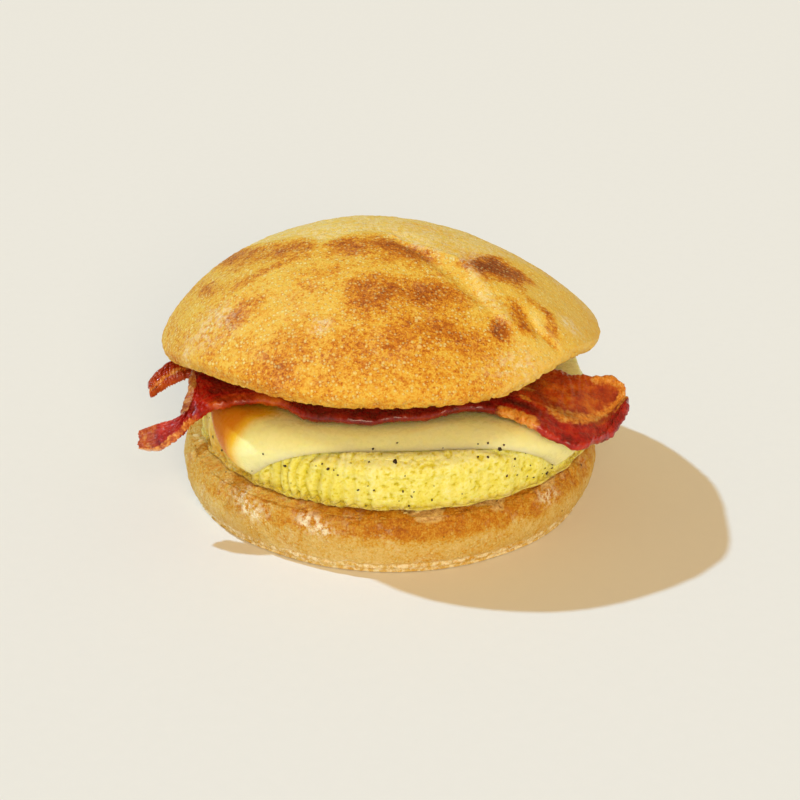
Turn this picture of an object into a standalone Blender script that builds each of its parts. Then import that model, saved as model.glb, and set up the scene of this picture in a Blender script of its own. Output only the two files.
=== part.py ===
"""Breakfast sandwich: a domed roll cut in two, an egg patty, a slice of cheese and two strips of bacon."""

import math

import bmesh
import bpy
import numpy as np
from mathutils import Vector, noise

MM = 0.001
ROUND_SIDES = 64

# Outlines of the lower half and the egg run from the middle of the underside to the middle of
# the top, as shares of the piece's radius and of its height

# Lower half of the roll
HEEL_RADIUS = 48.3 * MM
HEEL_HEIGHT = 14.2 * MM
HEEL_UNEVENNESS = 0.9 * MM
HEEL_LIP_START = 0.9
HEEL_LIP_DROP = 0.9 * MM
HEEL_OUTLINE = (
    (0.0, 0.0), (0.5, 0.0), (0.905, 0.0), (0.955, 0.06), (0.985, 0.28), (1.0, 0.6),
    (0.985, 0.83), (0.955, 0.96), (0.92, 1.0), (0.5, 1.0), (0.0, 1.0),
)

# Egg patty, which lies a little to the right of the roll's middle
GAP = 0.3 * MM
EGG_CENTRE = (2.0 * MM, 0.0)
EGG_RADIUS = 45.3 * MM
EGG_BOTTOM = HEEL_HEIGHT + GAP
EGG_TOP = 25.5 * MM
EGG_SHOULDER = 4.5 * MM
EGG_RIPPLE = 0.3 * MM
EGG_RIPPLES = 29
EGG_UNEVENNESS = 0.5 * MM
# The ripples fade out where the wall turns in below and before the shoulder
RIPPLE_START_REACH = 0.96
RIPPLE_FULL_REACH = 0.99
RIPPLE_LOW_HEIGHT = 0.6
RIPPLE_HIGH_HEIGHT = 0.8
EGG_OUTLINE = (
    (0.0, 0.0), (0.5, 0.0), (0.965, 0.0), (0.99, 0.08), (1.0, 0.32), (0.995, 0.56),
    (0.98, 0.75), (0.94, 0.9), (0.865, 0.985), (0.5, 1.0), (0.0, 1.0),
)

# Ground pepper on the egg's wall
FLECK_COUNT = 26
FLECK_RADIUS = 0.75 * MM
FLECK_SINK = 0.4 * MM
FLECK_SHAPE = (1.0, 0.7, 1.3)
FLECK_SEED = 11
FLECK_LOWEST = 0.25
FLECK_HIGHEST = 0.62

# Cheese slice, whose corners bend down over the egg
CHEESE_SIZE = (85.5 * MM, 78.0 * MM)
CHEESE_THICKNESS = 2.1 * MM
CHEESE_CENTRE = (1.5 * MM, 1.8 * MM)
CHEESE_TURN = math.radians(3.0)
CHEESE_CLEARANCE = 0.8 * MM
CHEESE_FOOT = EGG_BOTTOM + 0.8 * CHEESE_THICKNESS
CHEESE_FLARE = 0.6
# Share by which the slice's sides draw in beside its soft corners, and how suddenly they do
CHEESE_CORNER = 0.04
CORNER_SHARPNESS = 8
CHEESE_STEPS = (18, 18)
CORNER_HALF_ANGLE = math.radians(15.0)

# Bacon strips, each a list of cross-sections from the left tail to the right end:
# front edge (x, y, z), back edge (x, y, z) and how far the middle sags, in millimetres
FRONT_STRIP_THICKNESS = 2.4 * MM
BACK_STRIP_THICKNESS = 2.0 * MM
FRONT_STRIP = (
    ((-54.6, -28.8, 20.8), (-54.4, -26.6, 24.2), 0.3),
    ((-50.0, -31.8, 21.8), (-50.6, -27.8, 26.0), 0.4),
    ((-45.4, -32.0, 25.8), (-45.2, -27.8, 28.8), 0.4),
    ((-42.0, -29.2, 28.2), (-43.6, -20.0, 31.4), 0.6),
    ((-33.0, -24.8, 29.9), (-42.8, -9.6, 32.0), 0.4),
    ((-23.0, -27.4, 29.9), (-24.0, -8.0, 31.8), -0.4),
    ((-14.6, -34.2, 29.9), (-12.0, -8.5, 32.0), -0.6),
    ((2.5, -34.0, 29.9), (3.0, -8.5, 32.0), -0.6),
    ((19.0, -29.2, 30.1), (21.0, -8.0, 32.0), -0.6),
    ((30.0, -35.2, 29.1), (33.0, -10.5, 32.0), -1.0),
    ((40.0, -36.2, 24.2), (42.0, -13.4, 31.8), -0.2),
    ((48.2, -28.6, 24.0), (49.0, -13.2, 31.6), 1.8),
    ((53.6, -19.6, 27.6), (52.8, -15.0, 29.8), 0.4),
)
BACK_STRIP = (
    ((-53.8, -13.4, 26.4), (-54.6, -10.4, 28.8), 0.3),
    ((-49.8, -11.0, 28.0), (-51.2, -6.4, 30.8), 0.6),
    ((-44.0, -8.6, 29.7), (-45.0, 1.0, 30.4), 0.3),
    ((-33.0, -4.4, 29.8), (-33.0, 14.0, 29.9), 0.0),
    ((-12.0, -4.6, 29.8), (-13.0, 17.0, 29.8), 0.0),
    ((10.0, -4.4, 29.8), (10.0, 17.0, 29.8), 0.0),
    ((30.0, -5.0, 29.8), (29.0, 15.0, 29.8), 0.0),
    ((41.0, -4.0, 29.8), (40.0, 10.0, 29.8), 0.0),
)
FRONT_STRIP_SIZE = (125.0 * MM, 24.0 * MM)
BACK_STRIP_SIZE = (100.0 * MM, 20.0 * MM)
FRONT_STEPS = (40, 4)
BACK_STEPS = (26, 3)
BACON_WAVE = 0.5 * MM
BACON_WAVE_LENGTH = 13.0 * MM

# Upper half of the roll, whose front lip is lifted off the bacon
CROWN_CENTRE = (-1.9 * MM, -1.1 * MM)
CROWN_RADIUS = (50.0 * MM, 50.8 * MM)
CROWN_TOP = 62.4 * MM
CROWN_PEAK = (-5.6 * MM, -4.0 * MM)
CROWN_ROUNDNESS = 2.2
FLANK_FULLNESS = 1.19
RIM_HEIGHT = 33.7 * MM
RIM_FRONT_LIFT = 6.1 * MM
RIM_BACK_DROP = 3.9 * MM
RIM_ROLL = 0.022
RIM_REACH = 37.0 * MM
LIP_HEIGHT = 4.2 * MM
LIP_INSET = 4.0 * MM
# Shares of the crown's outline that its cut face and its lip take up
UNDERSIDE_SHARE = 0.2
LIP_SHARE = 0.36
CROWN_RINGS = 22
CROWN_UNEVENNESS = 0.7 * MM
CROWN_LUMP = 22.0 * MM
SIDEWAYS_SHARE = 0.6
# Waves of the lip: where each is, in degrees round the roll, how wide and how high
RIM_WAVES = ((-60.0, 15.0, -1.4 * MM), (-130.0, 20.0, 1.1 * MM), (-30.0, 14.0, 0.9 * MM))
# The seam of the dough runs over the dome from near its top to its front right flank
SEAM_START = (-1.0 * MM, -2.0 * MM)
SEAM_END = (25.0 * MM, -31.0 * MM)
SEAM_WIDTH = 2.6 * MM
SEAM_DEPTH = 1.2 * MM
SEAM_FADE = 0.22
# A small fold of the crust beside the seam's end
FOLD_MIDDLE = (31.0 * MM, -28.5 * MM)
FOLD_LENGTH = 6.0 * MM
FOLD_WIDTH = 2.8 * MM
FOLD_DEPTH = 0.8 * MM


def clear_scene():
    for item in list(bpy.data.objects):
        bpy.data.objects.remove(item, do_unlink=True)


def smooth_step(value):
    """Rises smoothly from 0 to 1 as the value goes from 0 to 1."""
    share = min(max(value, 0.0), 1.0)
    return share * share * (3.0 - 2.0 * share)


def lumps(x, y, z, size, seed):
    """Soft noise between about -1 and 1 whose features are the given size."""
    return noise.noise(Vector((x / size + seed, y / size - seed, z / size + 0.5 * seed)))


def smooth_through(stations, share):
    """A point on the smooth curve through the stations, at a share of its length from 0 to 1."""
    values = np.asarray(stations, dtype=float)
    place = share * (len(values) - 1)
    first = min(int(place), len(values) - 2)
    t = place - first
    before = values[max(first - 1, 0)]
    start, end = values[first], values[first + 1]
    after = values[min(first + 2, len(values) - 1)]
    return 0.5 * (
        2.0 * start
        + (end - before) * t
        + (2.0 * before - 5.0 * start + 4.0 * end - after) * t * t
        + (3.0 * start - before - 3.0 * end + after) * t * t * t
    )


def make_object(name, points, faces, material):
    mesh = bpy.data.meshes.new(name)
    mesh.from_pydata([tuple(point) for point in points], [], faces)
    work = bmesh.new()
    work.from_mesh(mesh)
    bmesh.ops.recalc_face_normals(work, faces=work.faces)
    bmesh.ops.triangulate(work, faces=work.faces)
    work.to_mesh(mesh)
    work.free()
    mesh.shade_smooth()
    mesh.set_sharp_from_angle(angle=math.radians(50.0))
    mesh.materials.append(material)
    body = bpy.data.objects.new(name, mesh)
    bpy.context.scene.collection.objects.link(body)
    return body


def turned_solid(name, surface, rings, sides, material):
    """A closed body whose rings run from the middle of its underside to the middle of its top."""
    points = [surface(0.0, 0.0)]
    for ring in range(1, rings):
        for side in range(sides):
            points.append(surface(ring / rings, 2.0 * math.pi * side / sides))
    points.append(surface(1.0, 0.0))
    top = len(points) - 1
    faces = []
    for side in range(sides):
        after = (side + 1) % sides
        faces.append((0, 1 + after, 1 + side))
        for ring in range(rings - 2):
            low = 1 + ring * sides
            high = low + sides
            faces.append((low + side, low + after, high + after, high + side))
        last = 1 + (rings - 2) * sides
        faces.append((last + side, last + after, top))
    return make_object(name, points, faces, material)


def rounded_steps(count, margin):
    """Shares from 0 to 1: even steps, with two closer ones at each end for a rounded edge."""
    inner = np.linspace(margin, 1.0 - margin, count)
    return np.concatenate([[0.0, 0.3 * margin], inner, [1.0 - 0.3 * margin, 1.0]])


def edge_share(distance, rounding):
    """Share of the full thickness at a distance from a rounded edge."""
    inward = 1.0 - min(distance / rounding, 1.0)
    return math.sqrt(max(1.0 - inward * inward, 0.0))


def thin_solid(name, middle, thickness, size, counts, material):
    """A thin body round the surface middle(u, v), with both faces split alike and rounded edges."""
    rounding = 0.5 * thickness
    us = rounded_steps(counts[0], rounding / size[0])
    vs = rounded_steps(counts[1], rounding / size[1])
    nudge = 0.001
    above, below, points = {}, {}, []
    for i, u in enumerate(us):
        for j, v in enumerate(vs):
            centre = middle(u, v)
            along = middle(min(u + nudge, 1.0), v) - middle(max(u - nudge, 0.0), v)
            across = middle(u, min(v + nudge, 1.0)) - middle(u, max(v - nudge, 0.0))
            normal = np.cross(along, across)
            normal = normal / np.linalg.norm(normal)
            edge = min(u * size[0], (1.0 - u) * size[0], v * size[1], (1.0 - v) * size[1])
            half = 0.5 * thickness * edge_share(edge, rounding)
            above[i, j] = len(points)
            points.append(centre + normal * half)
            if half > 0.0:
                below[i, j] = len(points)
                points.append(centre - normal * half)
            else:
                below[i, j] = above[i, j]
    faces = []
    for i in range(len(us) - 1):
        for j in range(len(vs) - 1):
            corners = ((i, j), (i + 1, j), (i + 1, j + 1), (i, j + 1))
            upper = [above[c] for c in corners]
            lower = [below[c] for c in corners]
            faces.append((upper[0], upper[1], upper[2]))
            faces.append((upper[0], upper[2], upper[3]))
            faces.append((lower[0], lower[2], lower[1]))
            faces.append((lower[0], lower[3], lower[2]))
    return make_object(name, points, faces, material)


def material(name, colour, roughness):
    made = bpy.data.materials.new(name)
    made.use_nodes = True
    shader = made.node_tree.nodes["Principled BSDF"]
    shader.inputs["Base Color"].default_value = (*colour, 1.0)
    shader.inputs["Roughness"].default_value = roughness
    shader.inputs["Metallic"].default_value = 0.0
    made.diffuse_color = (*colour, 1.0)
    return made


def heel_surface(share, angle):
    """Lower half of the roll: flat base, rounded side and flat cut face."""
    reach, height = smooth_through(HEEL_OUTLINE, share)
    cos_a, sin_a = math.cos(angle), math.sin(angle)
    uneven = HEEL_UNEVENNESS * reach * lumps(cos_a, sin_a, height, 0.6, 3.0)
    radius = HEEL_RADIUS * reach + uneven
    on_lip = smooth_step((reach - HEEL_LIP_START) / (1.0 - HEEL_LIP_START)) * height**2
    drop = HEEL_LIP_DROP * on_lip * (1.0 + lumps(cos_a, sin_a, 0.0, 0.35, 6.0))
    return (radius * cos_a, radius * sin_a, HEEL_HEIGHT * height - drop)


def egg_radius(angle):
    return EGG_RADIUS + EGG_UNEVENNESS * lumps(math.cos(angle), math.sin(angle), 0.0, 0.7, 8.0)


def egg_surface(share, angle):
    """Egg patty: flat top and bottom, nearly upright rippled wall and a round shoulder."""
    reach, height = smooth_through(EGG_OUTLINE, share)
    out = smooth_step((reach - RIPPLE_START_REACH) / (RIPPLE_FULL_REACH - RIPPLE_START_REACH))
    low = smooth_step((RIPPLE_HIGH_HEIGHT - height) / (RIPPLE_HIGH_HEIGHT - RIPPLE_LOW_HEIGHT))
    ripple = EGG_RIPPLE * out * low * (math.sin(EGG_RIPPLES * angle) - 1.0)
    radius = egg_radius(angle) * reach + ripple
    x = EGG_CENTRE[0] + radius * math.cos(angle)
    y = EGG_CENTRE[1] + radius * math.sin(angle)
    return (x, y, EGG_BOTTOM + (EGG_TOP - EGG_BOTTOM) * height)


def draped(x, y):
    """Where a point of the flat slice goes when its outer parts bend down over the egg."""
    dx = x - EGG_CENTRE[0]
    dy = y - EGG_CENTRE[1]
    flat = math.hypot(dx, dy)
    angle = math.atan2(dy, dx)
    lift = CHEESE_CLEARANCE + 0.5 * CHEESE_THICKNESS
    bend = EGG_SHOULDER + lift
    start = egg_radius(angle) - EGG_SHOULDER
    top = EGG_TOP + lift
    beyond = flat - start
    if beyond <= 0.0:
        reach, z = flat, top
    elif beyond < bend * 0.5 * math.pi:
        reach = start + bend * math.sin(beyond / bend)
        z = top - bend * (1.0 - math.cos(beyond / bend))
    else:
        hanging = beyond - bend * 0.5 * math.pi
        room = top - bend - CHEESE_FOOT
        reach = start + bend + CHEESE_FLARE * max(hanging - room, 0.0)
        z = top - bend - min(hanging, room)
    x = EGG_CENTRE[0] + reach * math.cos(angle)
    y = EGG_CENTRE[1] + reach * math.sin(angle)
    return np.array((x, y, z))


def on_slice(u, v):
    """Place of a point of the flat slice as it is laid down, before it bends."""
    side_x, side_y = 2.0 * u - 1.0, 2.0 * v - 1.0
    x = 0.5 * side_x * CHEESE_SIZE[0] * (1.0 - CHEESE_CORNER * side_y**CORNER_SHARPNESS)
    y = 0.5 * side_y * CHEESE_SIZE[1] * (1.0 - CHEESE_CORNER * side_x**CORNER_SHARPNESS)
    turned_x = x * math.cos(CHEESE_TURN) - y * math.sin(CHEESE_TURN)
    turned_y = x * math.sin(CHEESE_TURN) + y * math.cos(CHEESE_TURN)
    return CHEESE_CENTRE[0] + turned_x, CHEESE_CENTRE[1] + turned_y


def cheese_middle(u, v):
    return draped(*on_slice(u, v))


def strip_middle(sections, seed):
    """The surface of a bacon strip: u runs along it from the left tail, v from front to back."""
    front = [section[0] for section in sections]
    back = [section[1] for section in sections]
    sag = [(section[2],) for section in sections]

    def middle(u, v):
        near = smooth_through(front, u) * MM
        far = smooth_through(back, u) * MM
        drop = float(smooth_through(sag, u)[0]) * MM
        point = near + (far - near) * v
        point[2] -= drop * 4.0 * v * (1.0 - v)
        wave = math.sin(2.0 * math.pi * (point[0] + 0.4 * point[1]) / BACON_WAVE_LENGTH + seed)
        point[2] += BACON_WAVE * (1.0 + wave) * 0.5
        return point

    return middle


def rim_height(x, y):
    """Height of the cut face of the upper half: lifted in front, lower at the back."""
    lift = RIM_FRONT_LIFT * smooth_step(-y / RIM_REACH)
    drop = RIM_BACK_DROP * smooth_step(y / RIM_REACH)
    turn = math.degrees(math.atan2(y - CROWN_CENTRE[1], x - CROWN_CENTRE[0]))
    outward = math.hypot(x - CROWN_CENTRE[0], y - CROWN_CENTRE[1]) / CROWN_RADIUS[0]
    wave = sum(high * math.exp(-(((turn - at) / wide) ** 2)) for at, wide, high in RIM_WAVES)
    return RIM_HEIGHT + lift - drop + RIM_ROLL * x + wave * outward**3


def seam_groove(x, y):
    """How far the crust sinks at a point along the seam."""
    run_x = SEAM_END[0] - SEAM_START[0]
    run_y = SEAM_END[1] - SEAM_START[1]
    length = math.hypot(run_x, run_y)
    from_x, from_y = x - SEAM_START[0], y - SEAM_START[1]
    along = (from_x * run_x + from_y * run_y) / length**2
    aside = (from_x * run_y - from_y * run_x) / length
    ends = smooth_step(along / SEAM_FADE) * smooth_step((1.0 - along) / SEAM_FADE)
    return SEAM_DEPTH * ends * math.exp(-((aside / SEAM_WIDTH) ** 2))


def fold_dent(x, y):
    """How far the crust sinks inside the small fold."""
    dx, dy = x - FOLD_MIDDLE[0], y - FOLD_MIDDLE[1]
    along = (dx - dy) * math.sqrt(0.5) / FOLD_LENGTH
    across = (dx + dy) * math.sqrt(0.5) / FOLD_WIDTH
    return FOLD_DEPTH * math.exp(-along * along - across * across)


def crown_surface(share, angle):
    """Upper half of the roll: cut face, rounded lip and a slightly pointed dome."""
    cos_a, sin_a = math.cos(angle), math.sin(angle)
    wide_x, wide_y = CROWN_RADIUS[0] * cos_a, CROWN_RADIUS[1] * sin_a
    middle_x, middle_y = CROWN_CENTRE
    rim_z = rim_height(middle_x + wide_x, middle_y + wide_y)
    inner = 1.0 - LIP_INSET / CROWN_RADIUS[0]
    if share <= UNDERSIDE_SHARE:
        reach = inner * share / UNDERSIDE_SHARE
        z = rim_height(middle_x + wide_x * reach, middle_y + wide_y * reach)
    elif share <= LIP_SHARE:
        turn = 0.5 * math.pi * (share - UNDERSIDE_SHARE) / (LIP_SHARE - UNDERSIDE_SHARE)
        reach = inner + (1.0 - inner) * math.sin(turn)
        z = rim_z + LIP_HEIGHT * (1.0 - math.cos(turn))
    else:
        turn = 0.5 * math.pi * (share - LIP_SHARE) / (1.0 - LIP_SHARE)
        reach = math.cos(turn)
        rise = max(1.0 - reach**CROWN_ROUNDNESS, 0.0) ** (1.0 / FLANK_FULLNESS)
        foot = rim_z + LIP_HEIGHT
        middle_x += (CROWN_PEAK[0] - CROWN_CENTRE[0]) * rise
        middle_y += (CROWN_PEAK[1] - CROWN_CENTRE[1]) * rise
        z = foot + (CROWN_TOP - foot) * rise
    x = middle_x + wide_x * reach
    y = middle_y + wide_y * reach
    on_crust = smooth_step((share - UNDERSIDE_SHARE) / (LIP_SHARE - UNDERSIDE_SHARE))
    swell = CROWN_UNEVENNESS * lumps(x, y, z, CROWN_LUMP, 5.0)
    swell -= seam_groove(x, y) + fold_dent(x, y)
    sideways = SIDEWAYS_SHARE * swell * on_crust
    return (x + sideways * cos_a, y + sideways * sin_a, z + swell * on_crust)


def under_corner(angle):
    """Whether a corner of the cheese hangs over the egg's wall at this angle."""
    for u, v in ((0.0, 0.0), (1.0, 0.0), (1.0, 1.0), (0.0, 1.0)):
        x, y = on_slice(u, v)
        corner = math.atan2(y - EGG_CENTRE[1], x - EGG_CENTRE[0])
        away = (angle - corner + math.pi) % (2.0 * math.pi) - math.pi
        if abs(away) < CORNER_HALF_ANGLE:
            return True
    return False


def add_flecks(egg):
    """Ground pepper fused to the egg's wall, spread round it below the cheese by a seeded draw."""
    random = np.random.default_rng(FLECK_SEED)
    flecks = bpy.data.collections.new("pepper")
    bpy.context.scene.collection.children.link(flecks)
    for index in range(FLECK_COUNT):
        angle = 2.0 * math.pi * (index + random.uniform(-0.3, 0.3)) / FLECK_COUNT
        if under_corner(angle):
            continue
        height = EGG_BOTTOM + (EGG_TOP - EGG_BOTTOM) * random.uniform(FLECK_LOWEST, FLECK_HIGHEST)
        radius = egg_radius(angle) - FLECK_SINK
        work = bmesh.new()
        size = FLECK_RADIUS * random.uniform(0.75, 1.15)
        bmesh.ops.create_icosphere(work, subdivisions=1, radius=size)
        mesh = bpy.data.meshes.new(f"fleck_{index}")
        work.to_mesh(mesh)
        work.free()
        grain = bpy.data.objects.new(f"fleck_{index}", mesh)
        x = EGG_CENTRE[0] + radius * math.cos(angle)
        y = EGG_CENTRE[1] + radius * math.sin(angle)
        grain.location = (x, y, height)
        grain.rotation_euler = tuple(random.uniform(0.0, math.pi, 3))
        grain.scale = FLECK_SHAPE
        flecks.objects.link(grain)
    join = egg.modifiers.new("pepper", "BOOLEAN")
    join.operation = "UNION"
    join.operand_type = "COLLECTION"
    join.collection = flecks
    bpy.context.view_layer.update()
    graph = bpy.context.evaluated_depsgraph_get()
    joined = bpy.data.meshes.new_from_object(egg.evaluated_get(graph))
    egg.modifiers.clear()
    egg.data = joined
    for grain in list(flecks.objects):
        bpy.data.objects.remove(grain, do_unlink=True)
    bpy.data.collections.remove(flecks)


def main():
    clear_scene()
    golden_crust = material("golden_crust", (0.62, 0.34, 0.10), 0.75)
    pale_crust = material("pale_crust", (0.66, 0.42, 0.17), 0.75)
    egg_yellow = material("egg_yellow", (0.88, 0.76, 0.16), 0.55)
    cheese_yellow = material("cheese_yellow", (0.86, 0.60, 0.15), 0.35)
    bacon_red = material("bacon_red", (0.30, 0.035, 0.02), 0.3)
    turned_solid("bottom_bun", heel_surface, len(HEEL_OUTLINE) - 1, ROUND_SIDES, pale_crust)
    egg = turned_solid("egg_patty", egg_surface, len(EGG_OUTLINE) - 1, 3 * EGG_RIPPLES, egg_yellow)
    add_flecks(egg)
    thin_solid("cheese_slice", cheese_middle, CHEESE_THICKNESS, CHEESE_SIZE, CHEESE_STEPS, cheese_yellow)
    front = strip_middle(FRONT_STRIP, 0.0)
    thin_solid("bacon_front", front, FRONT_STRIP_THICKNESS, FRONT_STRIP_SIZE, FRONT_STEPS, bacon_red)
    back = strip_middle(BACK_STRIP, 2.0)
    thin_solid("bacon_back", back, BACK_STRIP_THICKNESS, BACK_STRIP_SIZE, BACK_STEPS, bacon_red)
    turned_solid("top_bun", crown_surface, CROWN_RINGS, ROUND_SIDES, golden_crust)


main()
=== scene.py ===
"""Breakfast sandwich, dressed: blistered roll, cooked egg, melting cheese and fried bacon."""

import math

import bmesh
import bpy
import numpy as np
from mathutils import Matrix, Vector, noise
from mathutils.bvhtree import BVHTree


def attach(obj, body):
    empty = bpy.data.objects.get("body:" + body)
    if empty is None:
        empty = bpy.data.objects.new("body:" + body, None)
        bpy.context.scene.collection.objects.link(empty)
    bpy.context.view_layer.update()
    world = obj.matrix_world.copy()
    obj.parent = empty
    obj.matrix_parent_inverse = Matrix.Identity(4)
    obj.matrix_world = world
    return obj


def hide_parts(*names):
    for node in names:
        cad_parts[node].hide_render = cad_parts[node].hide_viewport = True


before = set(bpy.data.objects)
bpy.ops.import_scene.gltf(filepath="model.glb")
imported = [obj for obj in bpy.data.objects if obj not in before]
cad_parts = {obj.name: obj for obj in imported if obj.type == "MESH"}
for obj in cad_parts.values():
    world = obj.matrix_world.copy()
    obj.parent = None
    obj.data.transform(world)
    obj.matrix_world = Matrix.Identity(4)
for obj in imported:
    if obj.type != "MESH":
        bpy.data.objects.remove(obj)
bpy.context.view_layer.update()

MM = 0.001
BODY = "root"

# Camera: the photograph's viewing angle, and where its view axis meets the sandwich
IMAGE_SIZE = 800
LENS_MM = 85.0
SENSOR_MM = 36.0
CAMERA_ELEVATION = math.radians(25.0)
CAMERA_DISTANCE = 0.44
CAMERA_TARGET = (0.0025, 0.0, 0.0194)

# Lights and floor
KEY_AZIMUTH = math.radians(-71.6)
KEY_ELEVATION = math.radians(52.1)
KEY_SPREAD = math.radians(1.6)
KEY_STRENGTH = 2.45
KEY_COLOUR = (0.44, 0.71, 1.0)
FRONT_AZIMUTH = math.radians(172.0)
FRONT_ELEVATION = math.radians(26.0)
FRONT_SPREAD = math.radians(30.0)
FRONT_STRENGTH = 1.75
FRONT_COLOUR = (1.0, 0.86, 0.62)
SKY_COLOUR = (1.0, 0.735, 0.41)
SKY_STRENGTH = 0.465
FLOOR_SIZE = 30.0
PAPER_GRAIN = 3.0 * MM

# Lower half of the roll
HEEL_RADIUS = 48.3 * MM
HEEL_HEIGHT = 14.2 * MM
HEEL_UNEVENNESS = 0.9 * MM
HEEL_LIP_START = 0.9
HEEL_LIP_DROP = 0.9 * MM
HEEL_OUTLINE = (
    (0.0, 0.0), (0.5, 0.0), (0.905, 0.0), (0.955, 0.06), (0.985, 0.28), (1.0, 0.6),
    (0.985, 0.83), (0.955, 0.96), (0.92, 1.0), (0.5, 1.0), (0.0, 1.0),
)

# Egg patty
GAP = 0.3 * MM
EGG_CENTRE = (2.0 * MM, 0.0)
EGG_RADIUS = 45.3 * MM
EGG_BOTTOM = HEEL_HEIGHT + GAP
EGG_TOP = 25.5 * MM
EGG_SHOULDER = 4.5 * MM
EGG_RIPPLE = 0.3 * MM
EGG_RIPPLES = 29
EGG_UNEVENNESS = 0.5 * MM
FLUTE_COUNT = 104
# Directions round the egg, in degrees, where the flutes are strongest and where the wall is browned and
# painted with shade
FLUTED_TURN = 241.0
BROWNED_TURN = 205.0
RIPPLE_START_REACH = 0.96
RIPPLE_FULL_REACH = 0.99
RIPPLE_LOW_HEIGHT = 0.6
RIPPLE_HIGH_HEIGHT = 0.8
EGG_OUTLINE = (
    (0.0, 0.0), (0.5, 0.0), (0.965, 0.0), (0.99, 0.08), (1.0, 0.32), (0.995, 0.56),
    (0.98, 0.75), (0.94, 0.9), (0.865, 0.985), (0.5, 1.0), (0.0, 1.0),
)

# Cheese slice
CHEESE_SIZE = (85.5 * MM, 78.0 * MM)
CHEESE_THICKNESS = 2.1 * MM
CHEESE_CENTRE = (1.5 * MM, 1.8 * MM)
CHEESE_TURN = math.radians(3.0)
CHEESE_CLEARANCE = 0.8 * MM
CHEESE_FOOT = EGG_BOTTOM + 0.8 * CHEESE_THICKNESS
CHEESE_FLARE = 0.6
CHEESE_CORNER = 0.04
CORNER_SHARPNESS = 8
CHEESE_ROUNDING = 1.1 * MM
# The melted front edge: where it starts to run, how far it runs and where it thins, as shares of v
MELT_START = 0.03
MELT_REACH = 0.024
MELT_TAPER = 0.11

# Bacon strips: front edge (x, y, z), back edge (x, y, z) and sag, in millimetres
FRONT_SECTIONS = (
    ((-54.6, -28.8, 20.8), (-54.4, -26.6, 24.2), 0.3),
    ((-50.0, -31.8, 21.8), (-50.6, -27.8, 26.0), 0.4),
    ((-45.4, -32.0, 25.8), (-45.2, -27.8, 28.8), 0.4),
    ((-42.0, -29.2, 28.2), (-43.6, -20.0, 31.4), 0.6),
    ((-33.0, -24.8, 29.9), (-42.8, -9.6, 32.0), 0.4),
    ((-23.0, -27.4, 29.9), (-24.0, -8.0, 31.8), -0.4),
    ((-14.6, -34.2, 29.9), (-12.0, -8.5, 32.0), -0.6),
    ((2.5, -34.0, 29.9), (3.0, -8.5, 32.0), -0.6),
    ((19.0, -29.2, 30.1), (21.0, -8.0, 32.0), -0.6),
    ((30.0, -35.2, 29.1), (33.0, -10.5, 32.0), -1.0),
    ((40.0, -36.2, 24.2), (42.0, -13.4, 31.8), -0.2),
    ((48.2, -28.6, 24.0), (49.0, -13.2, 31.6), 1.8),
    ((53.6, -19.6, 27.6), (52.8, -15.0, 29.8), 0.4),
)
BACK_SECTIONS = (
    ((-53.8, -13.4, 26.4), (-54.6, -10.4, 28.8), 0.3),
    ((-49.8, -11.0, 28.0), (-51.2, -6.4, 30.8), 0.6),
    ((-44.0, -8.6, 29.7), (-45.0, 1.0, 30.4), 0.3),
    ((-33.0, -4.4, 29.8), (-33.0, 14.0, 29.9), 0.0),
    ((-12.0, -4.6, 29.8), (-13.0, 17.0, 29.8), 0.0),
    ((10.0, -4.4, 29.8), (10.0, 17.0, 29.8), 0.0),
    ((30.0, -5.0, 29.8), (29.0, 15.0, 29.8), 0.0),
    ((41.0, -4.0, 29.8), (40.0, 10.0, 29.8), 0.0),
)
# Size is length and width; ragged is the share of the length by which each end wavers
FRONT_STRIP = {
    "sections": FRONT_SECTIONS, "thickness": 2.4 * MM, "size": (125.0 * MM, 24.0 * MM),
    "phase": 0.0, "ragged": (0.012, 0.012), "steps": (520, 96), "seed": 40.0,
}
BACK_STRIP = {
    "sections": BACK_SECTIONS, "thickness": 2.0 * MM, "size": (100.0 * MM, 20.0 * MM),
    "phase": 2.0, "ragged": (0.012, 0.07), "steps": (300, 60), "seed": 70.0,
}
RAGGED_SIDES = 0.05
BACON_WAVE = 0.5 * MM
BACON_WAVE_LENGTH = 13.0 * MM
BEAD_SPACING = 1.5 * MM
RIM_WIDTH = 2.2 * MM
BACON_WRINKLE = 1.3 * MM
BACON_RIDGE = 1.8 * MM
BACON_BUBBLE = 2.0 * MM

# Upper half of the roll
CROWN_CENTRE = (-1.9 * MM, -1.1 * MM)
CROWN_RADIUS = (50.0 * MM, 50.8 * MM)
CROWN_TOP = 62.4 * MM
CROWN_PEAK = (-5.6 * MM, -4.0 * MM)
CROWN_ROUNDNESS = 2.2
FLANK_FULLNESS = 1.19
RIM_HEIGHT = 33.7 * MM
RIM_FRONT_LIFT = 6.1 * MM
RIM_BACK_DROP = 3.9 * MM
RIM_ROLL = 0.022
RIM_REACH = 37.0 * MM
LIP_HEIGHT = 4.2 * MM
LIP_INSET = 4.0 * MM
UNDERSIDE_SHARE = 0.2
LIP_SHARE = 0.36
CROWN_UNEVENNESS = 0.7 * MM
CROWN_LUMP = 22.0 * MM
SIDEWAYS_SHARE = 0.6
RIM_WAVES = ((-60.0, 15.0, -1.4 * MM), (-130.0, 20.0, 1.1 * MM), (-30.0, 14.0, 0.9 * MM))
SEAM_START = (-1.0 * MM, -2.0 * MM)
SEAM_END = (25.0 * MM, -31.0 * MM)
SEAM_WIDTH = 2.6 * MM
SEAM_DEPTH = 1.2 * MM
SEAM_FADE = 0.22
FOLD_MIDDLE = (31.0 * MM, -28.5 * MM)
FOLD_LENGTH = 6.0 * MM
FOLD_WIDTH = 2.8 * MM
FOLD_DEPTH = 0.8 * MM
FOLD_TURN = -45.0

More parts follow.
